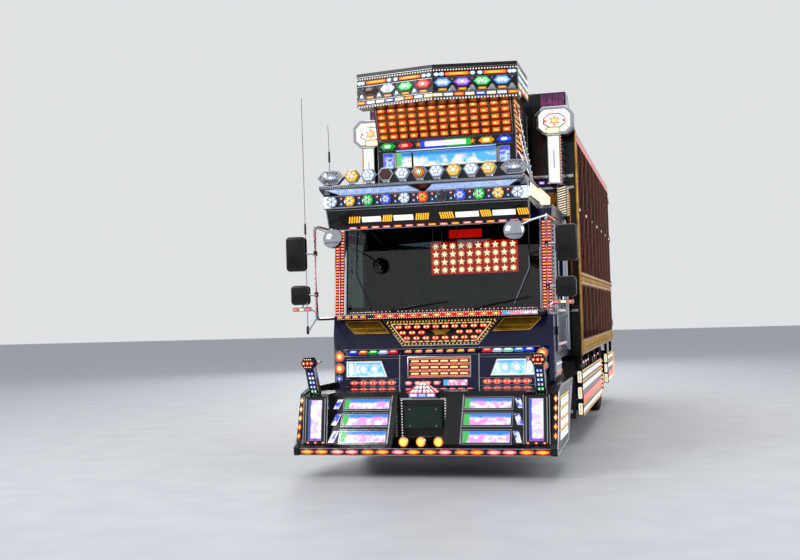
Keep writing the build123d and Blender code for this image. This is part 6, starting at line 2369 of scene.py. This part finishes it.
def build_underbody():
    """Bolts, spring clips, brake drums, tank straps, pipes and joints under the body."""
    under = Piece()
    for side in (-1, 1):
        for back in spread(1000, 7900, 36):
            for up in (640, 780):
                place = flank_at(side, 425, back, up)
                under.stack(place, ngon(26, 26, 6), [(0, 0), (0, 9), (3, 12)], "iron")
        low, high = 470, 600
        for back, inner in ((1980, 395), (6350, 480)):
            for shift in (-60, 60):
                for across in (inner - 38, inner + 38):
                    leg = [(side * across, back + shift, up) for up in (low - 60, high - 10)]
                    under.tube(leg, 8, "iron", 8)
            under.slab(top_at(side * inner, back, high - 22), 96, 170, 14, "iron", 3)
        drum = flank_at(side, 560, 6350, 420)
        under.lathe(drum, [(60, -20), (165, -20), (170, 0), (170, 36), (164, 42)], "iron", 40)
        if side > 0:
            strap = [(755, 378), (472, 382), (466, 700), (755, 704), (1042, 700), (1042, 380), (755, 378)]
            for back in (2950, 3225, 3500):
                under.tube([(across, back, up) for across, up in strap], 7, "chrome", 6)
    for across, up, radius, sides, backs in (
        (-680, 560, 154, 40, (4700, 5000, 5300)), (-640, 600, 124, 36, (3700, 3950, 4200))
    ):
        hoop = [(radius - 3, -12), (radius, -6), (radius, 6), (radius - 3, 12)]
        for back in backs:
            under.lathe(front_at(across, back, up), hoop, "iron", sides)
    for across, up in ((300, 770), (280, 790), (-300, 770)):
        under.tube(
            [(across, 2300, up), (across, 4000, up + 4), (across, 6000, up), (across, 7900, up)], 6, "flap",
            8
        )
    for back, up in ((2760, 640), (6000, 436)):
        joint = [(46, -44), (66, -38), (66, -22), (50, -14), (50, 14), (66, 22), (66, 38), (46, 44)]
        under.lathe(front_at(0, back, up), joint, "iron", 24)
    cover = rear_at(0, 6512, 420)
    under.lathe(cover, [(150, -30), (140, 0), (90, 26), (0.1, 34)], "iron", 36)
    for bolt in around(cover, 124, 10):
        under.stack(bolt, ngon(22, 22, 6), [(0, 0), (0, 14)], "iron")
    for up in spread(560, 1000, 5):
        under.slab(side_at(330, 1500, up), 780, 20, 14, "iron", 4)
        under.slab(flank_at(-1, 330, 1500, up), 780, 20, 14, "iron", 4)
    radiator = front_at(0, 1080, 780)
    under.stack(radiator, bar(600, 440, 20), [(0, 0), (0, 40), (8, 48)], "case")
    for across in spread(-270, 270, 28):
        under.slab(shifted(radiator, across, 0, 46), 8, 400, 6, "aluminium", 1)
    under.finish("underbody_fittings", "chassis", "frame_black")


# Operators, the panel and the run


class TRUCK_OT_stage(bpy.types.Operator):
    """Builds the pale floor, the studio light and the camera."""

    bl_idname = "truck.stage"
    bl_label = "Stage"

    def execute(self, context):
        build_stage()
        return {"FINISHED"}


class TRUCK_OT_finishes(bpy.types.Operator):
    """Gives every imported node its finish."""

    bl_idname = "truck.finishes"
    bl_label = "Finishes"

    def execute(self, context):
        finish_nodes()
        return {"FINISHED"}


class TRUCK_OT_bumper(bpy.types.Operator):
    """Builds the bumper's lamps, frames and plate niche."""

    bl_idname = "truck.bumper"
    bl_label = "Bumper"

    def execute(self, context):
        build_bumper_lamps()
        build_bumper_trim()
        return {"FINISHED"}


class TRUCK_OT_poles(bpy.types.Operator):
    """Builds the corner poles' lamps and the steps' treads."""

    bl_idname = "truck.poles"
    bl_label = "Poles and steps"

    def execute(self, context):
        build_corner_poles()
        build_steps()
        return {"FINISHED"}


class TRUCK_OT_front(bpy.types.Operator):
    """Builds the headlamps, the grille and the lamps of the front panel."""

    bl_idname = "truck.front"
    bl_label = "Front panel"

    def execute(self, context):
        build_headlamps()
        build_grille()
        build_panel_lamps()
        return {"FINISHED"}


class TRUCK_OT_shield(bpy.types.Operator):
    """Builds the trapezoid lamp panel, the gilt plates and the lip under the screen."""

    bl_idname = "truck.shield"
    bl_label = "Shield and lip"

    def execute(self, context):
        build_shield()
        build_lip()
        return {"FINISHED"}


class TRUCK_OT_screen(bpy.types.Operator):
    """Builds the screen's trim, the wipers and the sign behind the glass."""

    bl_idname = "truck.screen"
    bl_label = "Screen"

    def execute(self, context):
        build_screen_trim()
        build_cab_sign()
        return {"FINISHED"}


class TRUCK_OT_visor(bpy.types.Operator):
    """Builds the sun visor's windows and the deck's lamps."""

    bl_idname = "truck.visor"
    bl_label = "Visor and deck"

    def execute(self, context):
        build_visor()
        build_deck()
        return {"FINISHED"}


class TRUCK_OT_tower(bpy.types.Operator):
    """Builds the tower's grid, picture and side lattices."""

    bl_idname = "truck.tower"
    bl_label = "Tower"

    def execute(self, context):
        build_tower()
        build_tower_sides()
        return {"FINISHED"}


class TRUCK_OT_crown(bpy.types.Operator):
    """Builds the lamps of the tower's crown."""

    bl_idname = "truck.crown"
    bl_label = "Crown"

    def execute(self, context):
        build_crown()
        return {"FINISHED"}


class TRUCK_OT_wheels(bpy.types.Operator):
    """Builds the tyres' treads and the wheels' nuts and caps."""

    bl_idname = "truck.wheels"
    bl_label = "Wheels"

    def execute(self, context):
        build_tyres()
        build_wheel_trims()
        return {"FINISHED"}


class TRUCK_OT_mirrors(bpy.types.Operator):
    """Builds the mirrors on their stays and the aerial rods."""

    bl_idname = "truck.mirrors"
    bl_label = "Mirrors and rods"

    def execute(self, context):
        build_mirrors()
        return {"FINISHED"}


class TRUCK_OT_cab_sides(bpy.types.Operator):
    """Builds the pillars' lamps, the cab's rear ribs and the doors' trim."""

    bl_idname = "truck.cab_sides"
    bl_label = "Cab sides"

    def execute(self, context):
        build_pillars()
        build_cab_doors()
        return {"FINISHED"}


class TRUCK_OT_interior(bpy.types.Operator):
    """Builds the padded seats and the dashboard's details."""

    bl_idname = "truck.interior"
    bl_label = "Interior"

    def execute(self, context):
        build_seats()
        build_dashboard()
        return {"FINISHED"}


class TRUCK_OT_box(bpy.types.Operator):
    """Builds the box's reeded sides, bands, markers and ribs."""

    bl_idname = "truck.box"
    bl_label = "Box body"

    def execute(self, context):
        build_box_sides()
        build_headboard_lamps()
        return {"FINISHED"}


class TRUCK_OT_guards(bpy.types.Operator):
    """Builds the side guards' lit rows and the flaps' weights."""

    bl_idname = "truck.guards"
    bl_label = "Side guards"

    def execute(self, context):
        build_side_guards()
        return {"FINISHED"}


class TRUCK_OT_tail(bpy.types.Operator):
    """Builds the rear doors' panels, the portal's lamps and the tail lamps."""

    bl_idname = "truck.tail"
    bl_label = "Tail"

    def execute(self, context):
        build_tail()
        return {"FINISHED"}


class TRUCK_OT_underbody(bpy.types.Operator):
    """Builds the bolts, clips, straps and pipes under the body."""

    bl_idname = "truck.underbody"
    bl_label = "Underbody"

    def execute(self, context):
        build_underbody()
        return {"FINISHED"}


class TRUCK_PT_panel(bpy.types.Panel):
    """Lists the truck's settings and its building steps."""

    bl_idname = "TRUCK_PT_panel"
    bl_label = "Decorated truck"
    bl_space_type = "VIEW_3D"
    bl_region_type = "UI"
    bl_category = "Truck"

    def draw(self, context):
        for group in (context.scene.truck_colours, context.scene.truck_sizes):
            for key in group.__annotations__:
                self.layout.prop(group, key)
        for step in OPERATORS:
            self.layout.operator(step.bl_idname)


OPERATORS = (
    TRUCK_OT_stage,
    TRUCK_OT_finishes,
    TRUCK_OT_bumper,
    TRUCK_OT_poles,
    TRUCK_OT_front,
    TRUCK_OT_shield,
    TRUCK_OT_screen,
    TRUCK_OT_visor,
    TRUCK_OT_tower,
    TRUCK_OT_crown,
    TRUCK_OT_wheels,
    TRUCK_OT_mirrors,
    TRUCK_OT_cab_sides,
    TRUCK_OT_interior,
    TRUCK_OT_box,
    TRUCK_OT_guards,
    TRUCK_OT_tail,
    TRUCK_OT_underbody,
)
CLASSES = (TruckColours, TruckSizes, *OPERATORS, TRUCK_PT_panel)


def register():
    """Registers the classes and the scene's settings."""
    for item in CLASSES:
        bpy.utils.register_class(item)
    bpy.types.Scene.truck_colours = bpy.props.PointerProperty(type=TruckColours)
    bpy.types.Scene.truck_sizes = bpy.props.PointerProperty(type=TruckSizes)


def unregister():
    """Removes the settings and the classes."""
    del bpy.types.Scene.truck_colours
    del bpy.types.Scene.truck_sizes
    for item in reversed(CLASSES):
        bpy.utils.unregister_class(item)


def main():
    """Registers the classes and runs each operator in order."""
    register()
    for step in OPERATORS:
        group, name = step.bl_idname.split(".")
        getattr(getattr(bpy.ops, group), name)()


if __name__ == "__main__":
    main()
